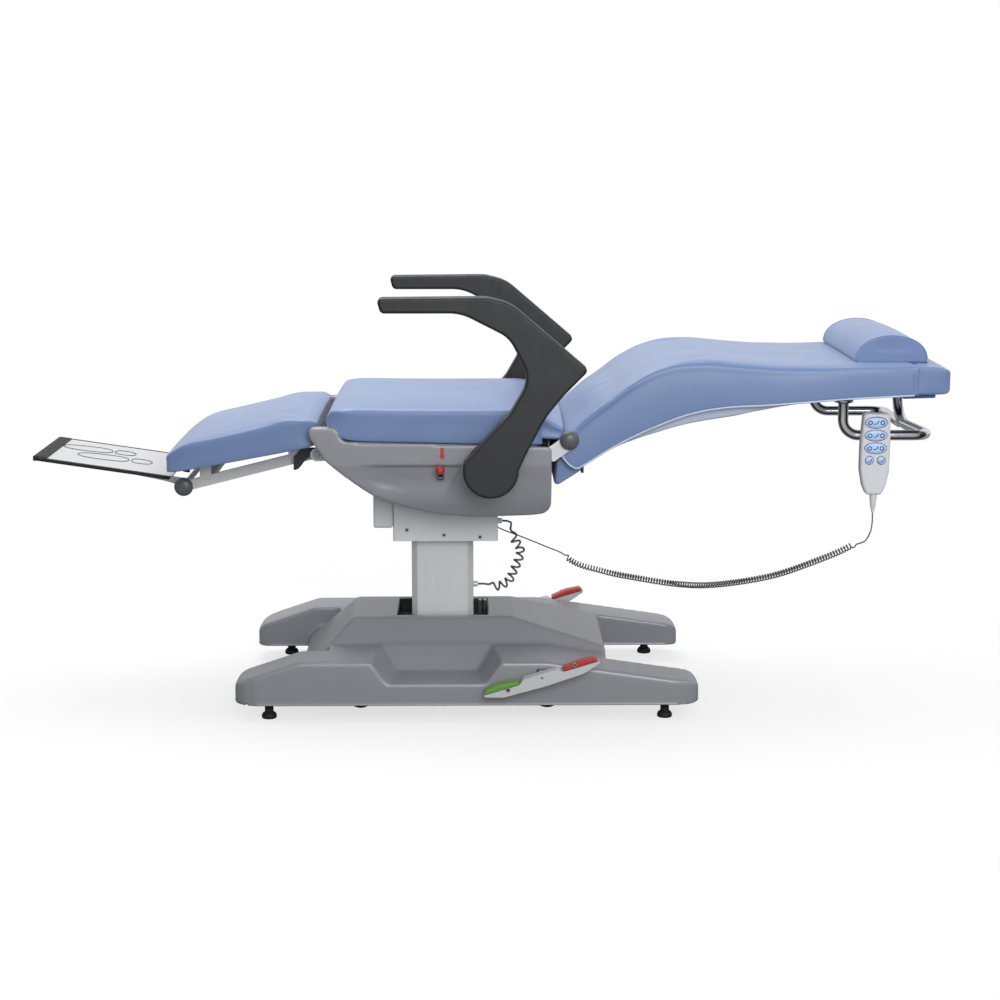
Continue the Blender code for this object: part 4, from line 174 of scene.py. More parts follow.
finishes = {
    # a soft satin skin with a fine pressed grain, so broad highlights break up a little
    "leatherette": ("blue leatherette satin", "#6B82AE", (0.42, 0.05), (90, 0.03), (1.1, 0.03),
                    {"cells": True, "specular": 0.6, "sheen": 0.2}),
    # paler than the leatherette, so a welt reads as a line
    "piping": ("pale blue vinyl piping", "#C3CFE6", (0.38, 0.04), (20, 0.04), (0.8, 0.02)),
    # dull and dark, so seams and stitches stand off the skin; also used for painted shadow and painted shade
    "thread": ("dark blue sewing thread", "#3F5485", (0.7, 0.05), (4, 0.15), (0.5, 0.05)),
    # fine metal flakes under a satin lacquer, so the moulding looks silver rather than grey
    "cover": ("silver grey lacquered moulding", "#94969C", (0.36, 0.05), (1.3, 0.10), (2.5, 0.012),
              {"metal": 0.2, "specular": 0.25}),
    # the same lacquer as the cover, painted lighter and bluer as painted light, so the back's underside
    # stays light in its shade
    "lining": ("blue grey lacquered lining", "#B4BFD2", (0.45, 0.05), (30, 0.04), (2.0, 0.015)),
    # powder coat with a faint orange peel, so flat sheet metal isn't dead
    "white": ("white powder coated steel", "#DCDDE2", (0.42, 0.05), (30, 0.025), (1.8, 0.03)),
    # drawn lines along the column that stretch its highlights upright
    "aluminium": ("pale satin anodised aluminium", "#D6D7D9", (0.42, 0.03), (14, 0.02), (1.2, 0.006),
                  {"metal": 0.3, "stretch": (1.0, 1.0, 0.02)}),
    # matt moulded texture that keeps the arms near black with a pale edge
    "black": ("black textured polyurethane", "#1F2023", (0.5, 0.06), (25, 0.10), (0.9, 0.05)),
    # a little metal under the paint, so hidden frames still catch light
    "steel": ("black painted steel", "#2A2B2D", (0.45, 0.08), (30, 0.10), (1.5, 0.03), {"metal": 0.2}),
    # an even mid grey that sets the leg rest's bars off from the white parts
    "bar": ("grey painted steel", "#C4C5C7", (0.4, 0.06), (25, 0.05), (1.5, 0.03)),
    # satin enough for one soft highlight on each dome
    "knob": ("dark grey satin phenolic", "#545659", (0.38, 0.06), (8, 0.08), (0.8, 0.03)),
    # dull and slightly dusty, so feet and rims don't shine
    "rubber": ("black moulded rubber", "#1B1B1C", (0.75, 0.08), (12, 0.15), (0.7, 0.06)),
    # mirror with painted reflection: dark and light bands painted into the colour by the angle to the view,
    # so the tube reads as chrome on a white floor
    "chrome": ("polished chrome plate", "#E2E3E6", (0.09, 0.03), (40, 0.03), (20.0, 0.01),
               {"metal": 0.7, "bands": [(0.0, "#E4E6EA"), (0.07, "#C2C5CA"), (0.14, "#34363A"),
                                        (0.32, "#2B2D31"), (0.42, "#D5D8DD"), (0.75, "#F2F3F5"),
                                        (1.0, "#6A6D72")]}),
    # small bright heads that sparkle a little
    "zinc": ("zinc plated screw", "#B9BABC", (0.32, 0.06), (3, 0.08), (0.8, 0.02), {"metal": 1.0}),
    # semi-gloss moulded colours that mark what a hand or foot presses
    "red": ("red moulded plastic", "#B4302C", (0.42, 0.05), (10, 0.06), (0.8, 0.03)),
    "green": ("green moulded plastic", "#659A3C", (0.42, 0.05), (10, 0.06), (0.8, 0.03)),
    # fine satin that keeps the handset's rounding soft
    "pale": ("pale grey satin plastic", "#D3D6DB", (0.42, 0.05), (30, 0.02), (0.7, 0.02)),
    # the brake rocker's white powder coat painted greyer and flatter, as painted shade
    "box": ("light grey moulded box", "#C3C4C6", (0.5, 0.05), (30, 0.03), (0.9, 0.04)),
    # smooth and bright, so the soles' outlines show
    "plate": ("white laminate plate", "#C6C7CA", (0.35, 0.05), (20, 0.03), (2.0, 0.02)),
    # a glossy film over a pale colour, with marks printed in a darker one
    "key": ("light blue key membrane", "#B4D2F2", (0.35, 0.04), (6, 0.05), (0.6, 0.015)),
    "ink": ("blue printed ink", "#1F4596", (0.5, 0.05), (3, 0.12), (0.4, 0.01)),
    # smooth sheath that shows each curl as a light and a dark side
    "cord": ("grey flexible PVC", "#5C5E63", (0.42, 0.06), (8, 0.06), (0.6, 0.02)),
    # lifts forks and glands just off black
    "dark": ("dark grey rubber gland", "#3A3C40", (0.55, 0.08), (10, 0.10), (0.8, 0.04)),
}


def makeFinish(name, colour, gloss, mottle, grain, extra=()):
    item = dict(extra)
    material = bpy.data.materials.new(name)
    material.use_nodes = True
    tree = material.node_tree
    shader = tree.nodes["Principled BSDF"]
    for socket, key, usual in (("Metallic", "metal", 0.0), ("Specular IOR Level", "specular", 0.5),
                               ("Sheen Weight", "sheen", 0.0)):
        shader.inputs[socket].default_value = item.get(key, usual)
    place = addNode(tree, "ShaderNodeTexCoord").outputs["Object"]
    place = addNode(tree, "ShaderNodeMapping", {"Scale": item.get("stretch", (1.0, 1.0, 1.0))},
                    {"Vector": place}).outputs["Vector"]
    patch, share = mottle
    cloud = addNode(tree, "ShaderNodeTexNoise", {"Scale": 1000 / patch, "Detail": 3.0},
                    {"Vector": place}).outputs["Fac"]
    colour = linear(colour)
    dim = [c * (1 - share) for c in colour[:3]] + [1.0]
    bright = [min(1.0, c * (1 + share)) for c in colour[:3]] + [1.0]
    tint = addNode(tree, "ShaderNodeMix", {"data_type": "RGBA", 6: dim, 7: bright}, {0: cloud})
    tree.links.new(tint.outputs[2], shader.inputs["Base Color"])
    # painted reflection: the base colour turns through the given light and dark bands with the angle between
    # surface and view
    if "bands" in item:
        facing = addNode(tree, "ShaderNodeLayerWeight", {"Blend": 0.5}).outputs["Facing"]
        ramp = addNode(tree, "ShaderNodeValToRGB", {}, {"Fac": facing})
        spots = ramp.color_ramp.elements
        spots.remove(spots[1])
        for k, (at, shade) in enumerate(item["bands"]):
            spot = spots.new(at) if k else spots[0]
            spot.color = linear(shade)
        tree.links.new(ramp.outputs["Color"], shader.inputs["Base Color"])
    middle, swing = gloss
    rough = addNode(tree, "ShaderNodeMapRange",
                    {"From Min": 0.3, "From Max": 0.7, "To Min": middle - swing, "To Max": middle + swing},
                    {"Value": cloud})
    tree.links.new(rough.outputs["Result"], shader.inputs["Roughness"])
    size, depth = grain
    if item.get("cells"):
        height = addNode(tree, "ShaderNodeTexVoronoi", {"feature": "SMOOTH_F1", "Scale": 1000 / size},
                         {"Vector": place}).outputs["Distance"]
    else:
        height = addNode(tree, "ShaderNodeTexNoise", {"Scale": 1000 / size, "Detail": 2.0},
                         {"Vector": place}).outputs["Fac"]
    bump = addNode(tree, "ShaderNodeBump", {"Strength": 0.6, "Distance": depth / 1000}, {"Height": height})
    tree.links.new(bump.outputs["Normal"], shader.inputs["Normal"])
    return material


paint = {key: makeFinish(*row) for key, row in finishes.items()}
print("materials:", len(paint))


# shape helpers

hands = (("left", -1), ("right", 1))    # the patient's sides, and their sign along Y


# from 0 at start to 1 at end with no sudden change of slope
def ease(start, end, value):
    t = np.clip((value - start) / (end - start), 0, 1)
    return t * t * (3 - 2 * t)


def newObject(name, mesh, material=None):
    piece = bpy.data.objects.new(name, mesh)
    bpy.context.scene.collection.objects.link(piece)
    if material:
        mesh.materials.clear()
        mesh.materials.append(material)
    return piece


def toMesh(bm, name):
    mesh = bpy.data.meshes.new(name)
    bm.to_mesh(mesh)
    bm.free()
    return mesh


# puts a finished piece on its body, over the CAD nodes that it stands for
def attach(piece, body, slot, *stands):
    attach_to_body(piece, body)
    if stands:
        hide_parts(*stands)
    return piece


# makes the result of a piece's modifiers its own plain mesh
def bake(piece):
    graph = bpy.context.evaluated_depsgraph_get()
    mesh = bpy.data.meshes.new_from_object(piece.evaluated_get(graph))
    old = piece.data
    piece.modifiers.clear()
    piece.data = mesh
    bpy.data.meshes.remove(old)
    return piece


# a CAD node's surface with its doubled corners joined and flat areas made one face
def takeMesh(name):
    bm = bmesh.new()
    bm.from_mesh(nodes[name].data)
    bmesh.ops.remove_doubles(bm, verts=bm.verts[:], dist=2e-5)
    bmesh.ops.dissolve_limit(bm, angle_limit=math.radians(0.8), verts=bm.verts[:], edges=bm.edges[:])
    return bm


def bevel(piece, width, segments, angle):
    edges = piece.modifiers.new("edges", "BEVEL")
    edges.width = width
    edges.segments = segments
    edges.limit_method = "ANGLE"
    edges.angle_limit = math.radians(angle)


# gives a skin a wall behind it
def thicken(piece, thickness):
    wall = piece.modifiers.new("wall", "SOLIDIFY")
    wall.thickness = thickness
    wall.offset = -1


# rounds the sharp edges of a piece and shades its flats flat
def roundEdges(piece, width, segments=3, angle=40):
    piece.data.shade_smooth()
    bevel(piece, width, segments, angle)
    shade = piece.modifiers.new("shade", "WEIGHTED_NORMAL")
    shade.weight = 80
    return bake(piece)


# a CAD node with fine edges and a finish
def refine(name, body, slot, finish, width, segments=3, angle=40):
    piece = newObject(name + "_finish", toMesh(takeMesh(name), name + "_finish"), paint[finish])
    roundEdges(piece, width, segments, angle)
    return attach(piece, body, slot, name)


# an outline whose corners (u, v, radius) are turned into arcs
def rounded(corners, steps=6):
    points = []
    count = len(corners)
    for i, (u, v, radius) in enumerate(corners):
        here = Vector((u, v))
        before = Vector(corners[i - 1][:2]) - here
        after = Vector(corners[(i + 1) % count][:2]) - here
        turn = before.angle(after)
        if radius <= 0 or turn > math.pi - 1e-3:
            points.append((u, v))
            continue
        run = min(radius / math.tan(turn / 2), before.length * 0.5, after.length * 0.5)
        radius = run * math.tan(turn / 2)
        before, after = before.normalized(), after.normalized()
        middle = here + (before + after).normalized() * (radius / math.sin(turn / 2))
        start = here + before * run - middle
        sweep = start.angle_signed(here + after * run - middle)
        for k in range(steps + 1):
            a = -sweep * k / steps
            points.append((middle.x + start.x * math.cos(a) - start.y * math.sin(a),
                           middle.y + start.x * math.sin(a) + start.y * math.cos(a)))
    return points


# a flat plate across Y from a side-view outline in (x, z)
def slabAcross(outline, low, high):
    bm = bmesh.new()
    near = [bm.verts.new((u, low, v)) for u, v in outline]
    far = [bm.verts.new((u, high, v)) for u, v in outline]
    count = len(outline)
    bm.faces.new(near)
    bm.faces.new(far[::-1])
    for i in range(count):
        j = (i + 1) % count
        bm.faces.new((near[j], near[i], far[i], far[j]))
    bmesh.ops.remove_doubles(bm, verts=bm.verts[:], dist=1e-6)
    bmesh.ops.recalc_face_normals(bm, faces=bm.faces[:])
    return bm


# a turned piece: profile (radius, height) round an axis through a point
def lathe(name, profile, at, axis, steps=48):
    bm = bmesh.new()
    turn = Vector((0, 0, 1)).rotation_difference(Vector(axis)).to_matrix()
    rings = []
    for radius, height in profile:
        if radius < 1e-6:
            rings.append([bm.verts.new(Vector(at) + turn @ Vector((0, 0, height)))])
            continue
        ring = []
        for k in range(steps):
            a = 2 * math.pi * k / steps
            ring.append(bm.verts.new(Vector(at) + turn @ Vector((radius * math.cos(a),
                                                                  radius * math.sin(a), height))))
        rings.append(ring)
    for near, far in zip(rings, rings[1:]):
        for k in range(steps):
            j = (k + 1) % steps
            ring = [near[k % len(near)], near[j % len(near)], far[j % len(far)], far[k % len(far)]]
            ring = list(dict.fromkeys(ring))
            if len(ring) > 2:
                bm.faces.new(ring)
    bmesh.ops.recalc_face_normals(bm, faces=bm.faces[:])
    mesh = toMesh(bm, name)
    mesh.shade_smooth()
    mesh.set_sharp_from_angle(angle=math.radians(38))
    return mesh


# squares between rings of corners
def joinRings(bm, rings):
    for near, far in zip(rings, rings[1:]):
        for k in range(len(near)):
            j = (k + 1) % len(near)
            bm.faces.new((near[k], near[j], far[j], far[k]))


# a round tube along a path, closed at its ends or joined to itself
def tubeMesh(name, path, radius, sides, ring=False):
    bm = bmesh.new()
    last = len(path) - 1
    side = Vector((0.1, 1, 0.2))
    rings = []
    for i, p in enumerate(path):
        if ring:
            forward = (path[(i + 1) % len(path)] - path[i - 1]).normalized()
        else:
            forward = (path[min(i + 1, last)] - path[max(i - 1, 0)]).normalized()
        side = (side - forward * side.dot(forward)).normalized()
        up = forward.cross(side)
        angles = [2 * math.pi * k / sides for k in range(sides)]
        rings.append([bm.verts.new(p + (side * math.cos(t) + up * math.sin(t)) * radius) for t in angles])
    if not ring:
        bm.faces.new(rings[0][::-1])
        bm.faces.new(rings[-1])
    joinRings(bm, rings + rings[:1] if ring else rings)
    bmesh.ops.recalc_face_normals(bm, faces=bm.faces[:])
    mesh = toMesh(bm, name)
    mesh.shade_smooth()
    mesh.set_sharp_from_angle(angle=math.radians(60))
    return mesh


def pathLength(path):
    return sum((b - a).length for a, b in zip(path, path[1:]))


def addTube(name, path, radius, sides, finish, body, slot, *stands, ring=False):
    piece = newObject(name, tubeMesh(name, path, radius, sides, ring), paint[finish])
    return attach(piece, body, slot, *stands)


def addTurned(name, profile, at, axis, finish, body, slot, *stands, steps=48):
    return attach(newObject(name, lathe(name, profile, at, axis, steps), paint[finish]), body, slot, *stands)


# a plate across Y; edges are the width, segments and angle of its rounding
def addPlate(name, outline, low, high, finish, edges, body, slot, *stands):
    piece = newObject(name, toMesh(slabAcross(outline, low, high), name), paint[finish])
    if edges:
        roundEdges(piece, *edges)
    return attach(piece, body, slot, *stands)


# a stretch across Y mirrored to the other hand, lower end first
def mirrored(hand, inner, outer):
    return sorted((hand * inner, hand * outer))


# a closed solid's surface as even small squares, with its edges softened
def voxelSkin(mesh, voxel, rounds):
    piece = newObject("skin", mesh)
    remesh = piece.modifiers.new("voxels", "REMESH")
    remesh.mode = "VOXEL"
    remesh.voxel_size = voxel
    smooth = piece.modifiers.new("soften", "SMOOTH")
    smooth.factor = 0.5
    smooth.iterations = rounds
    bake(piece)
    mesh = piece.data
    bpy.data.objects.remove(piece)
    return mesh


# cuts a square window, given by two corners, out of a skin
def openWindow(bm, low, high, margin=0.012):
    low = Vector(low)
    high = Vector(high)

    def within(face, more):
        at = face.calc_center_median()
        return all(low[k] - more < at[k] < high[k] + more for k in range(3))

    for axis in range(3):
        for value in (low[axis], high[axis]):
            near = [f for f in bm.faces if within(f, margin)]
            edges = list({e for f in near for e in f.edges})
            corners = list({v for f in near for v in f.verts})
            normal = Vector((0, 0, 0))
            normal[axis] = 1.0
            at = low.copy()
            at[axis] = value
            bmesh.ops.bisect_plane(bm, geom=near + edges + corners, plane_co=at, plane_no=normal, dist=1e-5)
    bmesh.ops.delete(bm, geom=[f for f in bm.faces if within(f, 0)], context="FACES")


def fillMissing(bm):
    edges = [e for e in bm.edges if len(e.link_faces) == 1]
    bmesh.ops.holes_fill(bm, edges=edges, sides=0)
    bmesh.ops.recalc_face_normals(bm, faces=bm.faces[:])


# cords

handCord = {
    "wire": 0.0015,                     # radius
    "coil": 0.0058,                     # coil axis to wire axis
    "turns": 110,
    "lead": 0.030,                      # straight wire that runs up to the coil on each side
    "slow": 0.022,                      # stretch over which its turns set in
    "curled": (8, 18),                  # first and last route point of the curled stretch
    "sides": 8,
    "bodies": ("seat", "back"),         # the two bodies it runs between, and two places on its way
    "bend": ((0.10, 0, 0.28), (0.80, 0, 0.40)),
    "route": [(-0.0736, 0.215, 0.5627), (-0.0736, 0.215, 0.5597), (-0.0736, 0.215, 0.5027),
              (-0.0696, 0.214, 0.450), (-0.0436, 0.209, 0.380), (0.0284, 0.200, 0.318),
              (0.0824, 0.198, 0.296), (0.1394, 0.190, 0.274), (0.1824, 0.180, 0.256),
              (0.1964, 0.176, 0.245), (0.2694, 0.150, 0.224), (0.3514, 0.100, 0.217),
              (0.4314, 0.050, 0.215), (0.4824, 0.000, 0.223), (0.5574, -0.060, 0.244),
              (0.6314, -0.110, 0.271), (0.7034, -0.160, 0.310), (0.7514, -0.190, 0.338),
              (0.7864, -0.208, 0.360), (0.8004, -0.214, 0.366), (0.8114, -0.2195, 0.385),
              (0.8164, -0.214, 0.4057), (0.8164, -0.214, 0.4247), (0.8164, -0.214, 0.4277)],
}
supplyCord = {
    "wire": 0.0023,
    "coil": 0.0085,
    "turns": 9,
    "lead": 0.014,
    "slow": 0.030,
    "curled": (3, 11),
    "sides": 12,
    "bodies": ("base", "lift"),
    "bend": ((0, 0, 0.232), (0, 0, 0.355)),
    "route": [(0.0377, 0, 0.371), (0.0413, 0, 0.371), (0.0584, 0, 0.366), (0.0564, 0, 0.352),
              (0.0644, 0, 0.330), (0.0784, 0, 0.305), (0.0724, 0, 0.278), (0.0624, 0, 0.256),
              (0.0544, 0, 0.238), (0.0384, 0, 0.226), (0.0144, 0, 0.222), (0.0004, 0, 0.226),
              (-0.0122, 0, 0.228), (-0.0158, 0, 0.228)],
}


# fine points on a smooth curve through a route, and where each route point falls among them
def smoothRoute(points, fineness):
    points = [Vector(p) for p in points]
    ends = [points[0] * 2 - points[1], *points, points[-1] * 2 - points[-2]]
    fine = []
    marks = []
    for a, b, c, d in zip(ends, ends[1:], ends[2:], ends[3:]):
        marks.append(len(fine))
        before, here, after = (b - a).length, (c - b).length, (d - c).length
        leave = ((b - a) * (here / before) + (c - b) * (before / here)) * (here / (before + here))
        arrive = ((c - b) * (after / here) + (d - c) * (here / after)) * (here / (here + after))
        count = max(2, math.ceil(here / fineness))
        for k in range(count):
            t = k / count
            fine.append(b * ((1 + 2 * t) * (1 - t)**2) + leave * (t * (1 - t)**2)
                        + c * (t * t * (3 - 2 * t)) + arrive * (t * t * (t - 1)))
    marks.append(len(fine))
    fine.append(points[-1])
    return fine, marks


# winds a route's curled stretch into a helix, whose wire leaves it along the helix at both ends
def curls(cord, steps=16):
    rough, marks = smoothRoute(cord["route"], 0.002)
    first, last = (marks[i] for i in cord["curled"])
    length = sum((b - a).length for a, b in zip(rough[first:last], rough[first + 1:last + 1]))
    path, marks = smoothRoute(cord["route"], length / (cord["turns"] * steps))
    first, last = (marks[i] for i in cord["curled"])
    run = np.concatenate([[0.0], np.cumsum([(b - a).length for a, b in zip(path, path[1:])])])
    into, left = run - run[first], run[last] - run
    speed = ease(0, cord["slow"], into) * ease(0, cord["slow"], left)
    angles = np.cumsum(speed) / speed.sum() * 2 * math.pi * cord["turns"]
    grow = ease(-cord["lead"], 0, into) * ease(-cord["lead"], 0, left) * cord["coil"]
    side = Vector((0, 1, 0))
    result = []
    for i, p in enumerate(path):
        forward = (path[min(i + 1, len(path) - 1)] - path[max(i - 1, 0)]).normalized()
        side = (side - forward * side.dot(forward)).normalized()
        out = side * math.cos(angles[i]) + forward.cross(side) * math.sin(angles[i])
        result.append(p + out * grow[i])
    sparse = 8                          # straight wire keeps every eighth point
    thin = result[:first:sparse] + result[first:last] + result[last::sparse]
    return [p for p in thin if (result[-1] - p).length > 0.0005] + [result[-1]]


def makeCords():
    for name, cord in (("handset", handCord), ("supply", supplyCord)):
        path = curls(cord)
        piece = name + "_curly_cord"
        piece = newObject(piece, tubeMesh(piece, path, cord["wire"], cord["sides"]), paint["cord"])
        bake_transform(piece)
        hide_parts(name + "_cord")
        print("%s cord: %.3f m of wire" % (name, pathLength(path)))


makeCords()


# cushions: grids of squares over cross-sections, blown up as cloth between seams that stay put

cushionSets = {
    # lines in side view are (place along the chair, height); without them the CAD solid's own are used
    "seat_cushion": {"piece": "seat_pad", "body": "seat", "roll": 0.0055, "tuckUnder": 0, "foot": 0.004,
                     "draw": 0.0015, "end": (0.0, 0.0), "cap": 0.0022, "pressure": 4.0,
                     "low": [(-0.3306, 0.630), (-0.3186, 0.6155), (-0.306, 0.600), (-0.290, 0.5925),
                             (-0.2646, 0.589), (-0.1736, 0.5865), (0.1184, 0.580)]},
    "legrest_cushion": {"piece": "legrest_pad", "body": "leg", "roll": 0.0055, "tuckUnder": 0, "foot": 0.004,
                        "draw": 0.0015, "end": (0.0, 0.0), "cap": 0.0022, "pressure": 4.0},
    "backrest_cushion": {
        "piece": "backrest_pad", "body": "back", "tuckUnder": 38, "foot": 0.004,
        "roll": [(0.158, 0.012), (0.566, 0.012), (0.69, 0.0105), (0.772, 0.006), (0.8944, 0.005)],
        "draw": 0.001, "end": (0.003, 0.003), "cap": 0.0028, "pressure": 4.0, "half": 0.2555,
        "seam": [(0.158, 0.583), (0.179, 0.599), (0.216, 0.634), (0.257, 0.665), (0.3085, 0.7035),
                 (0.36, 0.728), (0.411, 0.7388), (0.4625, 0.7402), (0.514, 0.7362), (0.566, 0.7318),
                 (0.617, 0.729), (0.69, 0.729), (0.772, 0.735), (0.8944, 0.7365)],
        "low": [(0.158, 0.556), (0.166, 0.545), (0.178, 0.5335), (0.190, 0.5285), (0.2065, 0.5375),
                (0.258, 0.5695), (0.31, 0.597), (0.361, 0.6195), (0.413, 0.639), (0.464, 0.651),
                (0.516, 0.657), (0.568, 0.6595), (0.65, 0.665), (0.754, 0.673), (0.8944, 0.6805)],
        "crown": [(0.158, 0.030), (0.20, 0.021), (0.26, 0.015), (0.31, 0.011), (0.41, 0.010), (0.46, 0.012),
                  (0.52, 0.011), (0.60, 0.009), (0.69, 0.006), (0.77, 0.0045), (0.8944, 0.003)]},
    "headrest_hood": {
        "piece": "headrest_hood_pad", "body": "back", "roll": 0.005, "tuckUnder": 0, "foot": 0.005,
        "draw": 0.0005, "end": (0.001, 0.011), "cap": 0.0012, "pressure": 3.0, "half": 0.2553,
        "seam": [(0.8962, 0.7408), (0.925, 0.7402), (0.942, 0.7385), (0.9515, 0.7360)],
        "low": [(0.8962, 0.6822), (0.925, 0.6822), (0.942, 0.6824), (0.9515, 0.6835)],
        "crown": [(0.8962, 0.004), (0.9515, 0.003)]},
}


# values of a smooth curve through given places that doesn't swing past them
def through(places, values, at):
    places = np.asarray(places)
    values = np.asarray(values)
    runs = np.diff(places)
    rises = np.diff(values) / runs
    slopes = np.concatenate([[rises[0]], np.zeros(len(places) - 2), [rises[-1]]])
    for i in range(1, len(places) - 1):
        if rises[i - 1] * rises[i] > 0:
            slopes[i] = 2 * rises[i - 1] * rises[i] / (rises[i - 1] + rises[i])
    spans = np.clip(np.searchsorted(places, at) - 1, 0, len(runs) - 1)
    t = (at - places[spans]) / runs[spans]
    h = runs[spans]
    return (values[spans] * (1 + 2 * t) * (1 - t)**2 + slopes[spans] * h * t * (1 - t)**2
            + values[spans + 1] * t * t * (3 - 2 * t) + slopes[spans + 1] * h * t * t * (t - 1))


# fine cross-sections of a cushion: place, half width, underside, upper seam and crown
def readStations(name, item, step=0.007):
    groups = {}
    for v in nodes[name].data.vertices:
        groups.setdefault(round(v.co.x, 4), []).append(v.co)
    rows = []
    for x in sorted(groups):
        points = groups[x]
        levels = sorted({round(p.z, 4) for p in points})
        rows.append((x, max(p.y for p in points), levels[0], levels[-3], levels[-1]))
    rows = np.array(rows)
    first, last = (item["seam"][i][0] if "seam" in item else rows[i, 0] for i in (0, -1))
    at = np.linspace(first, last, max(10, round((last - first) / step)))
    if "seam" not in item:
        half, low, seam, top = (through(rows[:, 0], rows[:, k], at) for k in range(1, 5))
        return at, half, through(*np.array(item["low"]).T, at) if "low" in item else low, seam, top
    seam, low, crown = (through(*np.array(item[key]).T, at) for key in ("seam", "low", "crown"))
    return at, np.full(len(at), item["half"]), low, seam, seam + crown


# half a section with its other half, as points across the chair
def wholeRing(x, points):
    return [Vector((x, u, v)) for u, v in points + [(-u, v) for u, v in points[-2:0:-1]]]


# half a cross-section from the underside's middle over the side to the crown, and the seam's number in it
def cushionSection(half, low, seam, top, item, roll):
    roll = min(roll, (seam - low) * 0.3)
    foot = min(item["foot"], (seam - low) * 0.2)
    points = [((half - foot) * k / 8, low) for k in range(8)]
    for k in range(4):
        a = math.pi / 2 * k / 3
        points.append((half - foot + foot * math.sin(a), low + foot - foot * math.cos(a)))
    under = math.radians(item["tuckUnder"])
    middle = seam - roll if under == 0 else seam
    start = half - roll + roll * math.cos(under)
    level = middle - roll * math.sin(under)
    for k in range(1, 10):
        t = k / 10
        inset = item["draw"] * 4 * t * (1 - t) + (half - start) * max(0.0, (t - 0.6) / 0.4) ** 2
        points.append((half - inset, low + foot + (level - low - foot) * t))
    seamIndex = len(points)
    for k in range(5):
        a = -under + (math.radians(80) + under) * k / 4
        points.append((half - roll + roll * math.cos(a), middle + roll * math.sin(a)))
    edge, rise = points[-1]
    top = max(top, rise + 0.002)
    for k in range(1, 25):
        t = k / 24
        points.append((edge * (1 - t), rise + (top - rise) * (1 - (1 - t)**2.4)))
    return points, seamIndex


# draws a section in towards its middle
def shrink(points, by):
    half = max(u for u, v in points)
    low = min(v for u, v in points)
    tall = max(v for u, v in points) - low
    return [(u * (half - by) / half, low + by + (v - low) * (tall - 2 * by) / tall) for u, v in points]


capShares = (0.9, 0.7, 0.45, 0.2)       # sizes of the smaller and smaller rings that fill an end


# a closed skin of squares over rings of points, with its ends filled
def ringSkin(name, rings):
    bm = bmesh.new()
    for end in (0, -1):
        ring = rings[end]
        middle = sum(ring, Vector()) / len(ring)
        inner = [[middle + (p - middle) * share for p in ring] for share in capShares]
        rings = inner[::-1] + rings if end == 0 else rings + inner
    made = [[bm.verts.new(p) for p in ring] for ring in rings]
    joinRings(bm, made)
    bm.faces.new(made[0][::-1])
    bm.faces.new(made[-1])
    bmesh.ops.recalc_face_normals(bm, faces=bm.faces[:])
    return toMesh(bm, name)


# numbers of a skin's points in its filled ends and in some rings next to them
def heldEnds(rings, more):
    size = len(rings[0])
    last = len(rings) + len(capShares) * 2
    count = len(capShares) + more
    return [r * size + k for r in (*range(count), *range(last - count, last)) for k in range(size)]


clothSet = {"quality": 4, "mass": 0.35, "tension_stiffness": 15, "compression_stiffness": 15,
            "shear_stiffness": 8, "bending_stiffness": 2.0, "use_pressure": True}
clothFrames = 14


# blows a closed skin up as cloth; held points stay, and the rest stays within a cap of where it was
def puff(piece, item, held):
    mesh = piece.data
    before = np.empty(len(mesh.vertices) * 3)
    mesh.vertices.foreach_get("co", before)
    before = before.reshape(-1, 3)
    group = piece.vertex_groups.new(name="held")
    group.add([int(i) for i in held], 1.0, "REPLACE")
    cloth = piece.modifiers.new("cloth", "CLOTH")
    for key, value in clothSet.items():
        setattr(cloth.settings, key, value)
    cloth.settings.uniform_pressure_force = item["pressure"]
    cloth.settings.vertex_group_mass = "held"
    cloth.settings.effector_weights.gravity = 0
    cloth.collision_settings.use_collision = False
    scene = bpy.context.scene
    for number in range(1, clothFrames + 1):
        scene.frame_set(number)
    graph = bpy.context.evaluated_depsgraph_get()
    result = piece.evaluated_get(graph).data
    after = np.empty(len(before) * 3)
    result.vertices.foreach_get("co", after)
    move = after.reshape(-1, 3) - before
    far = np.maximum(np.linalg.norm(move, axis=1), 1e-9)
    move *= (item["cap"] * np.tanh(far / item["cap"]) / far)[:, None]
    piece.modifiers.clear()
    piece.vertex_groups.clear()
    scene.frame_set(1)
    mesh.vertices.foreach_set("co", (before + move).ravel())
    mesh.update()
    print("  %s: cloth moved %.1f mm at most" % (piece.name, 1000 * np.linalg.norm(move, axis=1).max()))


# a padded piece from rings: cloth between the held points, one subdivision, and its place on its body
def makePad(name, rings, held, item, body, fill, *stands):
    piece = newObject(name, ringSkin(name, rings), paint["leatherette"])
    puff(piece, item, held)
    piece.modifiers.new("finer", "SUBSURF").levels = 1
    piece.modifiers["finer"].render_levels = 1
    bake(piece)
    piece.data.shade_smooth()
    if body:
        attach(piece, body, "blue_upholstery", *stands)
    print("%s: %d faces" % (name, len(piece.data.polygons)))
    return piece


endAngles = (20, 40, 60, 75, 90)        # of the rings that round a cushion's end, in degrees
cushionLines = {}                       # outer edge of each cushion's underside, for the piping


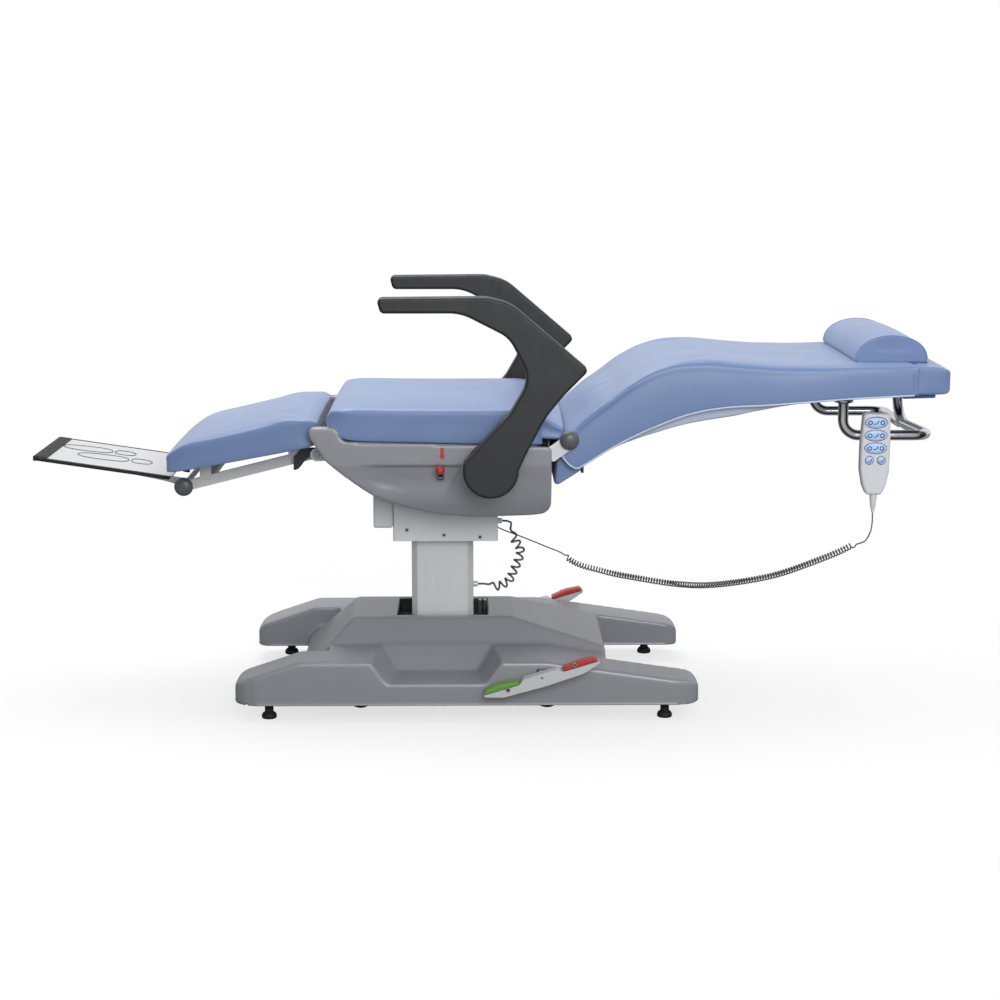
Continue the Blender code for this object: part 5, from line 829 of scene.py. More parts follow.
def makeCushion(name):
    item = cushionSets[name]
    rings = []
    edges = []
    for x, half, low, seam, top in zip(*readStations(name, item)):
        roll = item["roll"]
        if isinstance(roll, list):
            roll = through(*np.array(roll).T, np.array([x]))[0]
        points, seamIndex = cushionSection(half, low, seam, top, item, roll)
        edges.append((x, half, low))
        rings.append(wholeRing(x, points))
    for end, way in ((0, -1), (-1, 1)):
        reach = item["end"][end]
        base = rings[end]
        more = []
        for a in endAngles if reach else ():
            flat = shrink([(p.y, p.z) for p in base], reach * (1 - math.cos(math.radians(a))))
            place = base[0].x + way * reach * math.sin(math.radians(a))
            more.append([Vector((place, u, v)) for u, v in flat])
        rings = more[::-1] + rings if way < 0 else rings + more
    size = len(rings[0])
    foot = 12                           # points on the underside and its edge
    kept = {*range(foot), *range(size - foot + 1, size), seamIndex, size - seamIndex}
    caps = len(capShares)
    last = len(rings) + caps * 2
    ends = {*range(caps + 2), *range(last - caps - 2, last)}
    held = [r * size + k for r in range(last) for k in range(size) if k in kept or r in ends]
    cushionLines[name] = edges
    return makePad(item["piece"], rings, held, item, item["body"], 0.85, name)


for cushionName in cushionSets:
    makeCushion(cushionName)


# the head pillow, a half-round bolster with sewn end panels, and a dark line along its underside as painted
# shadow

# seam and under: thickness of the dark line painted as the bolster's shadow, and how far below its edge it
# runs
pillowSet = {"cap": 0.0025, "pressure": 4.0, "welt": 0.0013, "inset": 0.0012, "seam": 0.0014,
             "under": 0.0008, "end": 0.002, "flat": 0.8, "floor": 0.7452, "tall": 0.0596, "sink": 0.0015,
             "fall": 0.0035}


# a place on the pillow's upper side, which drops a little towards its ends
def pillowPoint(share, y):
    low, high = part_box("headrest_pillow")
    out = (y / high[1])**2
    floor = pillowSet["floor"] - pillowSet["sink"] * out
    tall = pillowSet["tall"] - pillowSet["fall"] * out
    a = math.pi * share
    x = (low[0] + high[0]) / 2 - (high[0] - low[0]) / 2 * math.cos(a)
    return Vector((x, y, floor + tall * math.sin(a) ** pillowSet["flat"]))


def makePillow():
    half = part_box("headrest_pillow")[1][1]
    rings = []
    steps = 32
    for y in np.linspace(-half + pillowSet["end"], half - pillowSet["end"], 49):
        over = [pillowPoint(k / steps, y) for k in range(steps + 1)]
        under = [over[-1].lerp(over[0], k / 16) for k in range(1, 16)]
        rings.append(over + under)
    for end, way in ((0, -1), (-1, 1)):
        base = rings[end]
        more = []
        for a in (math.radians(40), math.radians(90)):
            flat = shrink([(p.x - base[0].x, p.z) for p in base], pillowSet["end"] * (1 - math.cos(a)))
            y = base[0].y + way * pillowSet["end"] * math.sin(a)
            more.append([Vector((u + base[0].x, y, v)) for u, v in flat])
        rings = more[::-1] + rings if way < 0 else rings + more
    size = len(rings[0])
    caps = len(capShares)
    last = len(rings) + caps * 2
    seams = {*range(caps, caps + 3), *range(last - caps - 3, last - caps)}
    held = [r * size + k for r in range(last) for k in range(size) if r in seams or k >= steps or k < 2]
    makePad("headrest_bolster", rings, held, pillowSet, "back", 0.8, "headrest_pillow")
    for side, hand in hands:
        path = [pillowPoint(k / 48, hand * (half - pillowSet["inset"])) for k in range(1, 48)]
        addTube("bolster_welt_" + side, path, pillowSet["welt"], 8, "leatherette", "back", "blue_upholstery")
    # painted shadow: a dark tube just under the bolster's lower outline, for the shadow between it and the
    # back
    drop = Vector((0, 0, pillowSet["under"]))
    corners = [pillowPoint(end, hand * half) - drop for end, hand in ((0, -1), (0, 1), (1, 1), (1, -1))]
    path = [a.lerp(b, k / 24) for a, b in zip(corners, corners[1:] + corners[:1]) for k in range(24)]
    addTube("bolster_seam", path, pillowSet["seam"], 8, "thread", "back", "blue_upholstery", ring=True)
    print("pillow: bolster, two welts and a seam")


makePillow()


# pale piping under both lower edges of the back, which curls up at its foot end

pipingSet = {"radius": 0.0022, "lift": 0.0012, "inset": 0.0016, "until": 0.893}


def makePiping():
    for side, hand in hands:
        path = [Vector((x, hand * (half - pipingSet["inset"]), low + pipingSet["lift"]))
                for x, half, low in cushionLines["backrest_cushion"] if x < pipingSet["until"]]
        addTube("backrest_piping_" + side, path, pipingSet["radius"], 10, "piping", "back",
                "blue_upholstery")
    print("piping: two lengths of %.2f m" % pathLength(path))


makePiping()


# the padded gusset that closes the gap between seat and back, and the folded tail under the hinge

gussetSet = {"cap": 0.002, "pressure": 3.0, "half": 0.2545, "along": (0.106, 0.1615), "sag": 0.004,
             "top": (0.6525, 0.6165), "low": (0.592, 0.590), "crown": (0.006, 0.014), "roll": 0.008,
             "foot": 0.005, "draw": 0.002, "tuckUnder": 0, "bend": ((0.116, 0, 0.60), (0.160, 0, 0.60))}
tailSet = {"cap": 0.002, "pressure": 3.0, "half": 0.2335, "middle": (0.168, 0.528), "end": 0.015,
           "narrow": 0.10,
           "outline": [(0.166, 0.561, 0.006), (0.1475, 0.545, 0.012), (0.1432, 0.4925, 0.008),
                       (0.152, 0.4895, 0.012), (0.1990, 0.5195, 0.006), (0.1990, 0.5310, 0.006),
                       (0.186, 0.5245, 0.010), (0.174, 0.541, 0.010)]}


def makeGusset():
    g = gussetSet
    rings = []
    for t in np.linspace(0, 1, 11):
        x, top, low, crown = (a + (b - a) * t for a, b in (g["along"], g["top"], g["low"], g["crown"]))
        top -= g["sag"] * math.sin(math.pi * t)
        rings.append(wholeRing(x, cushionSection(g["half"], low, top, top + crown, g, g["roll"])[0]))
    piece = makePad("hinge_gusset", rings, heldEnds(rings, 2), g, None, 0.6)
    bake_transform(piece)


def makeTail():
    t = tailSet
    outline = rounded(t["outline"], 4)
    rings = []
    for y in np.linspace(-t["half"], t["half"], 41):
        edge = t["narrow"] * max(0.0, abs(y) / t["half"] - 1 + t["end"]) / t["end"]
        rings.append([Vector((u + (t["middle"][0] - u) * edge, y, v + (t["middle"][1] - v) * edge))
                      for u, v in outline])
    makePad("backrest_tail", rings, heldEnds(rings, 3), t, "back", 0.5, "backrest_flap")


makeGusset()
makeTail()


# the base cover: the moulding's outer skin, softened, on a thin wall

coverSet = {
    "voxel": 0.0038,
    "rounds": 7,
    "wall": 0.0032,
    "bottom": 0.034,
    "sole": 0.0035,                     # depth of the softened lower edge that is opened again
    "column": -0.0936,                  # the column's axis along the chair
    "well": (0.100, 0.085),             # half length and half width of the opening round the column
    "wellRise": (0.165, 0.20),          # heights between which it is opened again
    "wellLow": 0.15,
    "shaft": (0.1154, 0.103, 0.0092),   # place and radius of the rocker's shaft hole
    "flank": (0.28, 0.32),              # where the shaft passes through the sides
    "slack": 0.001,                     # how far from a cut its faces may lie
    "upright": 0.3,                     # largest tilt of a face that counts as standing
}


# keeps the faces that can be reached from the top without crossing the cover's cut edges
def outerSkin(bm, blocked):
    bm.faces.ensure_lookup_table()
    start = max(bm.faces, key=lambda f: f.calc_center_median().z + f.normal.z)
    seen = {start}
    queue = [start]
    while queue:
        face = queue.pop()
        for edge in face.edges:
            for other in edge.link_faces:
                if other not in seen and not blocked(other):
                    seen.add(other)
                    queue.append(other)
    bmesh.ops.delete(bm, geom=[f for f in bm.faces if f not in seen], context="FACES")


def coverCut(face):
    c = coverSet
    at = face.calc_center_median()
    long, wide = c["well"]
    shaftX, shaftZ, reach = c["shaft"]
    if face.normal.z < -0.9 and at.z < c["bottom"] + c["slack"]:
        return True
    inWell = abs(at.x - c["column"]) < long + c["slack"] and abs(at.y) < wide + c["slack"]
    if inWell and abs(face.normal.z) < c["upright"] and at.z > c["wellLow"]:
        return True
    inHole = math.hypot(at.x - shaftX, at.z - shaftZ) < reach + c["slack"] * 2
    return inHole and abs(face.normal.y) < c["upright"]


def makeBaseCover():
    c = coverSet
    bm = takeMesh("base_cover")
    outerSkin(bm, coverCut)
    fillMissing(bm)
    mesh = voxelSkin(toMesh(bm, "base_cover_skin"), c["voxel"], c["rounds"])
    bm = bmesh.new()
    bm.from_mesh(mesh)
    long, wide = c["well"]
    low, high = c["wellRise"]
    openWindow(bm, (c["column"] - long, -wide, low), (c["column"] + long, wide, high))
    shaftX, shaftZ, reach = c["shaft"]
    for hand in (1, -1):
        low, high = mirrored(hand, *c["flank"])
        openWindow(bm, (shaftX - reach, low, shaftZ - reach), (shaftX + reach, high, shaftZ + reach))
    level = c["bottom"] + c["sole"]
    under = [f for f in bm.faces if f.calc_center_median().z < level and f.normal.z < -0.7]
    bmesh.ops.delete(bm, geom=under, context="FACES")
    bmesh.ops.delete(bm, geom=[v for v in bm.verts if not v.link_faces], context="VERTS")
    piece = newObject("base_moulding", toMesh(bm, "base_moulding"), paint["cover"])
    piece.data.shade_smooth()
    thicken(piece, c["wall"])
    bake(piece)
    attach(piece, "base", "grey_cover", "base_cover")
    print("base cover: %d faces" % len(piece.data.polygons))


makeBaseCover()


# the seat's moulded shell, in the chair's frame: outline in side view, with cheeks beside the leg rest

shellSet = {
    "voxel": 0.004,
    "rounds": 5,
    "half": 0.272,
    "cheek": 0.241,                     # half width of the leg rest's pocket
    "crease": 0.540,                    # below this the sides draw in
    "tuck": 0.034,
    "power": 1.7,                       # how suddenly they do
    "side": 0.2,                        # half width from which a point belongs to a side
    "front": -0.3596,
    "pocket": -0.3346,                  # front wall between the cheeks
    "rear": 0.1374,
    "rim": 0.588,
    "lip": 0.618,
    "bottom": 0.433,
    # lower edge of the cheeks in side view, and the hollow pressed into each side around the lever
    "belly": [(-0.3294, 0.5455), (-0.2804, 0.506), (-0.2332, 0.4724), (-0.2044, 0.459), (-0.1444, 0.4404),
              (-0.0843, 0.428), (-0.0117, 0.4235), (0.09, 0.4265)],
    "hollow": {"deep": 0.009, "top": 0.5386, "corner": -0.047, "slant": 0.56, "left": (-0.270, -0.205),
               "fade": (0.462, 0.512), "side": 0.23},
    # openings by two corners, for the pan below and for the lever
    "windows": [((-0.1736, -0.204, 0.42), (0.1254, 0.204, 0.452)),
                ((-0.0972, -0.29, 0.5133), (-0.0892, -0.25, 0.5357))],
    # openings on both hands by stretches along, across and up, for the back's and the leg rest's hinges
    "pairs": [((0.1074, 0.1574), (0.236, 0.2677), (0.543, 0.62)),
              ((-0.3546, -0.3046), (0.146, 0.166), (0.526, 0.594))],
    "boss": [(0, 0.0), (0.050, 0.0), (0.050, 0.022), (0.0455, 0.0281), (0, 0.0281)],
    "bossAt": (0.0104, 0.2675, 0.538),
}


def shellOutline(front):
    s = shellSet
    return rounded([(front, s["lip"], 0.010), (front + 0.030, s["lip"], 0.014),
                    (s["front"] + 0.062, s["rim"], 0.020), (s["rear"], s["rim"] - 0.010, 0.010),
                    (s["rear"], s["bottom"] + 0.006, 0.030), (-0.0436, s["bottom"] - 0.002, 0.200),
                    (-0.1636, s["bottom"] + 0.017, 0.060), (front + 0.004, s["lip"] - 0.034, 0.030)], 10)


def cheekOutline():
    s = shellSet
    first, last = s["belly"][0], s["belly"][-1]
    at = np.linspace(last[0], first[0], 60)
    belly = [(u, v) for u, v in zip(at, through(*np.array(s["belly"]).T, at))]
    top = rounded([(*first, 0), (-0.3660, 0.600, 0.030), (-0.3640, s["lip"], 0.016),
                   (-0.3250, s["lip"], 0.015), (-0.3055, s["rim"] + 0.001, 0.016),
                   (s["rear"], s["rim"] - 0.010, 0.010), (s["rear"], last[1] + 0.005, 0.028),
                   (*last, 0)], 10)
    return top + belly[1:-1]


# presses the hollow into both outer sides
def pressHollow(bm):
    h = shellSet["hollow"]
    bm.normal_update()
    for v in bm.verts:
        if v.normal.y * v.co.y < 0.1 or abs(v.co.y) < h["side"]:
            continue
        side = h["corner"] - (h["top"] - v.co.z) * h["slant"]
        share = (ease(h["top"] + 0.002, h["top"] - 0.003, v.co.z) * ease(side + 0.005, side - 0.005, v.co.x)
                 * ease(*h["left"], v.co.x) * ease(*h["fade"], v.co.z))
        v.co.y -= math.copysign(h["deep"] * share, v.co.y)


def tuckSides(bm):
    s = shellSet
    drop = s["crease"] - s["bottom"]
    for v in bm.verts:
        below = max(0.0, s["crease"] - v.co.z) / drop
        v.co.y -= math.copysign(s["tuck"] * below**s["power"], v.co.y) * (abs(v.co.y) > s["side"])


def makeShell():
    s = shellSet
    bm = slabAcross(shellOutline(s["pocket"]), -s["half"], s["half"])
    for hand in (1, -1):
        cheek = toMesh(slabAcross(cheekOutline(), *mirrored(hand, s["cheek"], s["half"])), "cheek")
        bm.from_mesh(cheek)
        bpy.data.meshes.remove(cheek)
    for z in (s["crease"], s["crease"] - 0.004):
        bmesh.ops.bisect_plane(bm, geom=bm.verts[:] + bm.edges[:] + bm.faces[:], plane_co=(0, 0, z),
                               plane_no=(0, 0, 1))
    tuckSides(bm)
    mesh = voxelSkin(toMesh(bm, "seat_moulding"), s["voxel"], s["rounds"])
    bm = bmesh.new()
    bm.from_mesh(mesh)
    pressHollow(bm)
    for low, high in s["windows"]:
        openWindow(bm, low, high)
    for hand in (1, -1):
        for along, across, up in s["pairs"]:
            openWindow(bm, *zip(along, mirrored(hand, *across), up))
    piece = newObject("seat_moulding", toMesh(bm, "seat_moulding"), paint["cover"])
    piece.data.shade_smooth()
    attach(piece, "seat", "grey_cover", "seat_shell")
    for side, hand in hands:
        x, y, z = s["bossAt"]
        addTurned("armrest_boss_" + side, s["boss"], (x, hand * y, z), (0, hand, 0), "black", "seat",
                  "black_plastic")
    print("seat shell: %d faces and two bosses" % len(piece.data.polygons))


makeShell()


# the back's moulded underside: a shallow trough whose edges follow the cushion

troughSet = {
    "half": 0.238,
    "belly": 0.014,                     # how much deeper the middle is than the edges
    "flat": 0.120,                      # half width of the flat middle
    "least": 0.006,                     # depth that it has at least
    "lip": 0.003,                       # how far its sides reach up behind the cushion's edge
    "round": (0.003, 3, 50),
    "edge": [(0.2064, 0.5330), (0.258, 0.5655), (0.311, 0.5890), (0.363, 0.6060), (0.415, 0.6210),
             (0.466, 0.6310), (0.518, 0.6390), (0.570, 0.6500), (0.622, 0.6580), (0.68, 0.6650),
             (0.8944, 0.6775)],
    "wall": 0.003,
}


def makeTrough():
    t = troughSet
    at = np.linspace(t["edge"][0][0], t["edge"][-1][0], 90)
    edges = through(*np.array(t["edge"]).T, at)
    lows = through(*np.array(cushionSets["backrest_cushion"]["low"]).T, at)
    bm = bmesh.new()
    rows = []
    for x, edge, low in zip(at, edges, lows):
        belly = min(t["belly"], (low - edge) + t["least"])
        row = [bm.verts.new((x, -t["half"], low + t["lip"]))]
        for k in range(33):
            y = t["half"] * (k / 16 - 1)
            rise = max(0.0, (abs(y) - t["flat"]) / (t["half"] - t["flat"])) ** 2
            row.append(bm.verts.new((x, y, edge - belly * (1 - rise))))
        row.append(bm.verts.new((x, t["half"], low + t["lip"])))
        rows.append(row)
    for near, far in zip(rows, rows[1:]):
        for k in range(len(near) - 1):
            bm.faces.new((near[k], far[k], far[k + 1], near[k + 1]))
    bmesh.ops.recalc_face_normals(bm, faces=bm.faces[:])
    # its colour is the cover's lacquer with painted light
    piece = newObject("backrest_trough", toMesh(bm, "backrest_trough"), paint["lining"])
    if sum(f.normal.z for f in piece.data.polygons) > 0:
        piece.data.flip_normals()
    piece.data.shade_smooth()
    thicken(piece, t["wall"])
    bevel(piece, *t["round"])
    bake(piece)
    attach(piece, "back", "grey_cover", "backrest_cover")
    print("back cover: %d faces" % len(piece.data.polygons))


makeTrough()


# armrests: one thick moulded outline each, with a round hub

armSet = {"hub": (0.0104, 0.538), "hubRadius": 0.057, "top": 0.890, "tip": -0.2196, "inner": 0.296,
          "thick": 0.046, "round": 0.0065}


def armOutline():
    x, z = armSet["hub"]
    radius, top, tip = (armSet[key] for key in ("hubRadius", "top", "tip"))
    hub = [(x + radius * math.cos(math.radians(a)), z + radius * math.sin(math.radians(a)))
           for a in range(165, 362, 7)]
    corners = [(*hub[-1], 0), (x + 0.075, z + 0.040, 0.10), (x + 0.112, z + 0.110, 0.20),
               (x + 0.146, z + 0.152, 0.10), (x + 0.199, z + 0.206, 0.010), (x + 0.040, top - 0.010, 0.10),
               (x - 0.010, top + 0.002, 0.08), (tip, top, 0.009), (tip + 0.008, top - 0.031, 0.011),
               (x - 0.060, top - 0.031, 0.10), (x + 0.036, top - 0.080, 0.06),
               (x + 0.080, z + 0.190, 0.06), (x + 0.040, z + 0.120, 0.10), (*hub[0], 0)]
    return hub[1:-1] + rounded(corners, 8)


def makeArmrests():
    for side, hand in hands:
        low, high = mirrored(hand, armSet["inner"], armSet["inner"] + armSet["thick"])
        addPlate("armrest_%s_moulding" % side, armOutline(), low, high, "black", (armSet["round"], 5, 60),
                 "arm_" + side, "black_plastic", "armrest_" + side)
    print("armrests: two mouldings")


makeArmrests()


# push bar: a bent tube with an upright and an arm of its own on the far side, and two flanges

barSet = {"x": 0.7525, "y": 0.190, "z": 0.589, "end": 0.9365, "bend": 0.034, "radius": 0.011, "sides": 40,
          "sunk": 0.003, "upright": (0.912, 0.030), "wide": 0.060, "under": 0.676,
          "flange": [(0, -0.004), (0.0125, -0.004), (0.016, -0.0025), (0.0195, -0.0022), (0.020, -0.0015),
                     (0.020, 0.0025), (0, 0.0025)]}


# a tube's path with its corners turned into arcs
def bentPath(corners, bends):
    path = []
    for i, corner in enumerate(corners):
        here = Vector(corner)
        if i in (0, len(corners) - 1):
            path.append(here)
            continue
        before = (Vector(corners[i - 1]) - here).normalized()
        after = (Vector(corners[i + 1]) - here).normalized()
        bend = bends[i - 1]
        middle = here + (before + after) * bend
        for k in range(13):
            a = math.pi / 2 * k / 12
            path.append(middle - after * (bend * math.cos(a)) - before * (bend * math.sin(a)))
    return path


def makePushBar():
    b = barSet
    left, right, bend, wide = -b["y"], b["y"], b["bend"], b["wide"]
    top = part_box("push_bar")[1][2] - b["sunk"]
    x, y = b["upright"]
    path = bentPath([(b["x"], left, top), (b["x"], left, b["z"]), (b["end"], left, b["z"]), (x, y, b["z"]),
                     (x, y, b["under"])], (bend, bend, wide))
    addTube("push_bar_tube", path, b["radius"], b["sides"], "chrome", "back", "chrome", "push_bar")
    path = bentPath([(b["x"], right, top), (b["x"], right, b["z"]), (x, right, b["z"]),
                     (x, y - wide / 2, b["z"])], (bend, bend))
    addTube("push_bar_arm", path, b["radius"], b["sides"], "chrome", "back", "chrome")
    for side, hand in hands:
        addTurned("push_bar_flange_" + side, b["flange"], (b["x"], hand * b["y"], top), (0, 0, 1), "chrome",
                  "back", "chrome")
    print("push bar: tube, arm and two flanges")


makePushBar()


# turned pieces: knobs, feet, wheels and the lever's ball, as (radius, height)

turnedSet = {
    "dome": [(0, 0.0150), (0.006, 0.0147), (0.011, 0.0137), (0.0152, 0.0118), (0.0180, 0.0092),
             (0.0195, 0.0060), (0.0200, 0.0030), (0.0196, 0.0008), (0.0185, 0.0), (0, 0.0)],
    "stud": 0.006,
    "foot": [(0.006, 0.024), (0.0092, 0.0236), (0.0092, 0.0130), (0.0115, 0.0122), (0.0140, 0.0100),
             (0.0157, 0.0070), (0.0160, 0.0040), (0.0156, 0.0012), (0.0148, 0.0), (0, 0.0)],
    # depths below the wheel's outer face, then heights over its inner face
    "tread": 0.013,
    "rim": [(0, 0.004), (0.010, 0.004), (0.012, 0.002), (0.020, 0.002), (0.0215, 0.0005), (0.0265, 0.0),
            (0.0290, 0.0015), (0.0300, 0.004)],
    "hub": [(0.0300, 0.003), (0.0290, 0.001), (0.0270, 0.0), (0.0050, 0.0)],
    "ball": 0.0095,
    "stem": [(0.0035, -0.0090), (0.0035, -0.0500), (0, -0.0500)],
}


def makeTurned():
    t = turnedSet
    for side, hand in hands:
        for knob in ("back_knob_", "foot_knob_"):
            low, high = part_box(knob + side)
            at = ((low[0] + high[0]) / 2, high[1] if hand < 0 else low[1], (low[2] + high[2]) / 2)
            addTurned(knob + side + "_dome", t["dome"], at, (0, hand, 0), "knob", knob + side[0],
                      "grey_plastic", knob + side)
    for i in range(1, 5):
        node = "levelling_foot_%d" % i
        low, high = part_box(node)
        at = ((low[0] + high[0]) / 2, (low[1] + high[1]) / 2, low[2])
        tall = high[2] - low[2]
        addTurned(node + "_turned", [(0, tall), (t["stud"], tall)] + t["foot"], at, (0, 0, 1), "rubber",
                  "foot_%d" % i, "black_rubber", node)
        node = "castor_wheel_%d" % i
        low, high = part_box(node)
        at = [(low[k] + high[k]) / 2 for k in range(3)]
        half = high[1] - at[1]
        rim = [(r, half - h) for r, h in t["rim"]] + [(r, half - t["tread"] + h) for r, h in t["hub"]]
        addTurned(node + "_turned", rim + [(r, -h) for r, h in reversed(rim)], at, (0, 1, 0), "rubber",
                  "wheel_%d" % i, "black_rubber", node, steps=40)
    low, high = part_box("swivel_lever")
    radius = t["ball"]
    at = ((low[0] + high[0]) / 2, low[1] + radius, (low[2] + high[2]) / 2)
    angles = [math.radians(90 - 13 * k) for k in range(1, 12)]
    ball = [(0, radius)] + [(radius * math.cos(a), radius * math.sin(a)) for a in angles] + t["stem"]
    addTurned("swivel_lever_ball", ball, at, (0, -1, 0), "red", "lever", "red_plastic", "swivel_lever",
              steps=32)
    print("turned pieces: knobs, feet, wheels and lever")


makeTurned()


# CAD pieces whose shape is right get fine edges and a finish: name, body, slot, finish, width

refined = [
    ("column_outer", "base", "aluminium", "aluminium", 0.0025),
    ("column_head", "lift", "white_metal", "white", 0.0022),
    ("control_box", "lift", "pale_plastic", "white", 0.004),
    # the brake rocker's white is painted darker, as painted shade
    ("brake_rocker", "rocker", "white_metal", "box", 0.0016),
    *(("%s_pad_%s" % (colour, side), "rocker", colour + "_plastic", colour, 0.0015)
      for colour in ("red", "green") for side, hand in hands),
    ("legrest_frame", "leg", "grey_steel", "bar", 0.0012),
    ("footplate", "step", "pale_plate", "plate", 0.0008),
    ("footplate_rim", "step", "black_rubber", "rubber", 0.0018),
    ("footplate_bracket", "step", "grey_steel", "bar", 0.0012),
    ("seat_frame", "seat", "white_metal", "white", 0.0012),
    ("backrest_frame", "back", "black_steel", "steel", 0.0012),
    ("swivel_bearing", "lift", "black_steel", "steel", 0.001),
]
painted = {
    "steel": ["base_frame", "castor_carriage", "column_inner", "column_middle"],
    "dark": ["castor_fork_%d" % i for i in range(1, 5)],
}
trimSet = {
    "plate": (-0.9517, 0.537, -0.1479),     # a place on the foot plate, its height there and its slope
    "over": 0.0002,                         # how far the rim and the soles' lines stand over it
    "lug": (0.23, 0.16),                    # the hinge brackets lie past this half width, before this place
    "cut": (0.562, 0.138, 0.5765, 1.36),    # lowest level of their trim, a place, its height there and slope
}


# height of the foot plate's upper side along its slope
def plateLevel(x):
    at, height, slope = trimSet["plate"]
    return height + slope * (x - at)


def makeRefined():
    for name, body, slot, finish, width in refined:
        refine(name, body, slot, finish, width)
    for finish, names in painted.items():
        for name in names:
            nodes[name].data.materials.clear()
            nodes[name].data.materials.append(paint[finish])
    for v in bpy.data.objects["footplate_rim_finish"].data.vertices:
        v.co.z = min(v.co.z, plateLevel(v.co.x) + trimSet["over"])
    half, before = trimSet["lug"]
    least, at, height, slope = trimSet["cut"]
    for v in bpy.data.objects["seat_frame_finish"].data.vertices:
        if abs(v.co.y) > half and v.co.x < before:
            v.co.z = min(v.co.z, max(least, height + slope * (v.co.x - at)))
    print("refined pieces:", len(refined))


makeRefined()


# small repeated pieces: a node group sets one shape at every place, turned along "way" and scaled by "size"

def repeatTree(name, sizes, shape):
    tree = bpy.data.node_groups.new(name, "GeometryNodeTree")
    face = tree.interface
    face.new_socket("Places", in_out="INPUT", socket_type="NodeSocketGeometry")
    for key in sizes:
        face.new_socket(key, in_out="INPUT", socket_type="NodeSocketFloat")
    face.new_socket("Finish", in_out="INPUT", socket_type="NodeSocketMaterial")
    face.new_socket("Pieces", in_out="OUTPUT", socket_type="NodeSocketGeometry")
    given = tree.nodes.new("NodeGroupInput").outputs
    way = addNode(tree, "GeometryNodeInputNamedAttribute", {"data_type": "FLOAT_VECTOR", "Name": "way"})
    size = addNode(tree, "GeometryNodeInputNamedAttribute", {"data_type": "FLOAT", "Name": "size"})
    turn = addNode(tree, "FunctionNodeAlignRotationToVector", {"axis": "Z"},
                   {"Vector": way.outputs["Attribute"]})
    spread = addNode(tree, "GeometryNodeInstanceOnPoints", {},
                     {"Points": given["Places"], "Instance": shape(tree, given),
                      "Rotation": turn.outputs["Rotation"], "Scale": size.outputs["Attribute"]})
    real = addNode(tree, "GeometryNodeRealizeInstances", {}, {"Geometry": spread.outputs["Instances"]})
    done = addNode(tree, "GeometryNodeSetMaterial", {},
                   {"Geometry": real.outputs["Geometry"], "Material": given["Finish"]})
    addNode(tree, "NodeGroupOutput", {}, {"Pieces": done.outputs["Geometry"]})
    return tree


def discShape(tree, given):
    disc = addNode(tree, "GeometryNodeMeshCylinder", {},
                   {"Vertices": given["Sides"], "Radius": given["Radius"], "Depth": given["Depth"]})
    return disc.outputs["Mesh"]


def stitchShape(tree, given):
    ball = addNode(tree, "GeometryNodeMeshUVSphere", {"Segments": 8, "Rings": 6, "Radius": 1.0})
    size = addNode(tree, "ShaderNodeCombineXYZ", {},
                   {"X": given["Thick"], "Y": given["Thick"], "Z": given["Long"]})
    shaped = addNode(tree, "GeometryNodeTransform", {},
                     {"Geometry": ball.outputs["Mesh"], "Scale": size.outputs["Vector"]})
    return shaped.outputs["Geometry"]


discTree = repeatTree("repeated discs", ("Radius", "Depth", "Sides"), discShape)
stitchTree = repeatTree("repeated stitches", ("Thick", "Long"), stitchShape)


# places are (point, way, size)
def repeat(name, tree, places, sizes, finish, body, slot):
    mesh = bpy.data.meshes.new(name)
    points, ways, scales = zip(*places)
    mesh.from_pydata(points, [], [])
    ways = [number for way in ways for number in way]
    mesh.attributes.new("way", "FLOAT_VECTOR", "POINT").data.foreach_set("vector", ways)
    mesh.attributes.new("size", "FLOAT", "POINT").data.foreach_set("value", scales)
    piece = newObject(name, mesh)
    step = piece.modifiers.new("repeat", "NODES")
    step.node_group = tree
    sockets = {item.name: item.identifier for item in tree.interface.items_tree if item.in_out == "INPUT"}
    for key, value in sizes.items():
        step[sockets[key]] = float(value)
    step[sockets["Finish"]] = paint[finish]
    bake(piece)
    piece.data.shade_smooth()
    piece.data.set_sharp_from_angle(angle=math.radians(40))
    return attach(piece, body, slot)


# screws in the column's head and the brake rocker, each with a dark disc as painted shade of its hex socket

screwSet = {
    "radius": 0.0046,
    "socket": 0.0026,
    "proud": 0.0012,
    "deep": 0.0003,                     # how far a socket's dark disc, the painted shade of the recess, stands over its screw
    # places as (along, up, size), half width of the faces they sit on, and body
    "head_screws": ([(-0.1694, 0.3700, 1.0), (-0.0894, 0.3587, 1.0), (-0.0114, 0.3541, 1.0)], 0.1, "lift"),
    "rocker_screws": ([(0.0456, 0.0788, 1.1), (0.1161, 0.1043, 0.55), (0.1843, 0.1319, 0.9)], 0.341,
                      "rocker"),
}


def makeScrews():
    s = screwSet
    for name in ("head_screws", "rocker_screws"):
        rows, side, body = s[name]
        places = [((u, hand * side, v), (0, hand, 0), size) for u, v, size in rows for hand in (-1, 1)]
        repeat(name, discTree, places, {"Radius": s["radius"], "Depth": s["proud"] * 2, "Sides": 24},
               "zinc", body, "grey_steel")
        # painted shade: a dark hex disc stands over each head where the socket's recess would be
        repeat(name + "_socket_shade", discTree, places,
               {"Radius": s["socket"], "Depth": (s["proud"] + s["deep"]) * 2, "Sides": 6}, "rubber", body,
               "black_steel")
    print("screws: head and rocker")


makeScrews()


# stitches beside the hood's seam, ribs on the handset's boot, leg-rest buffers, terminals in the well

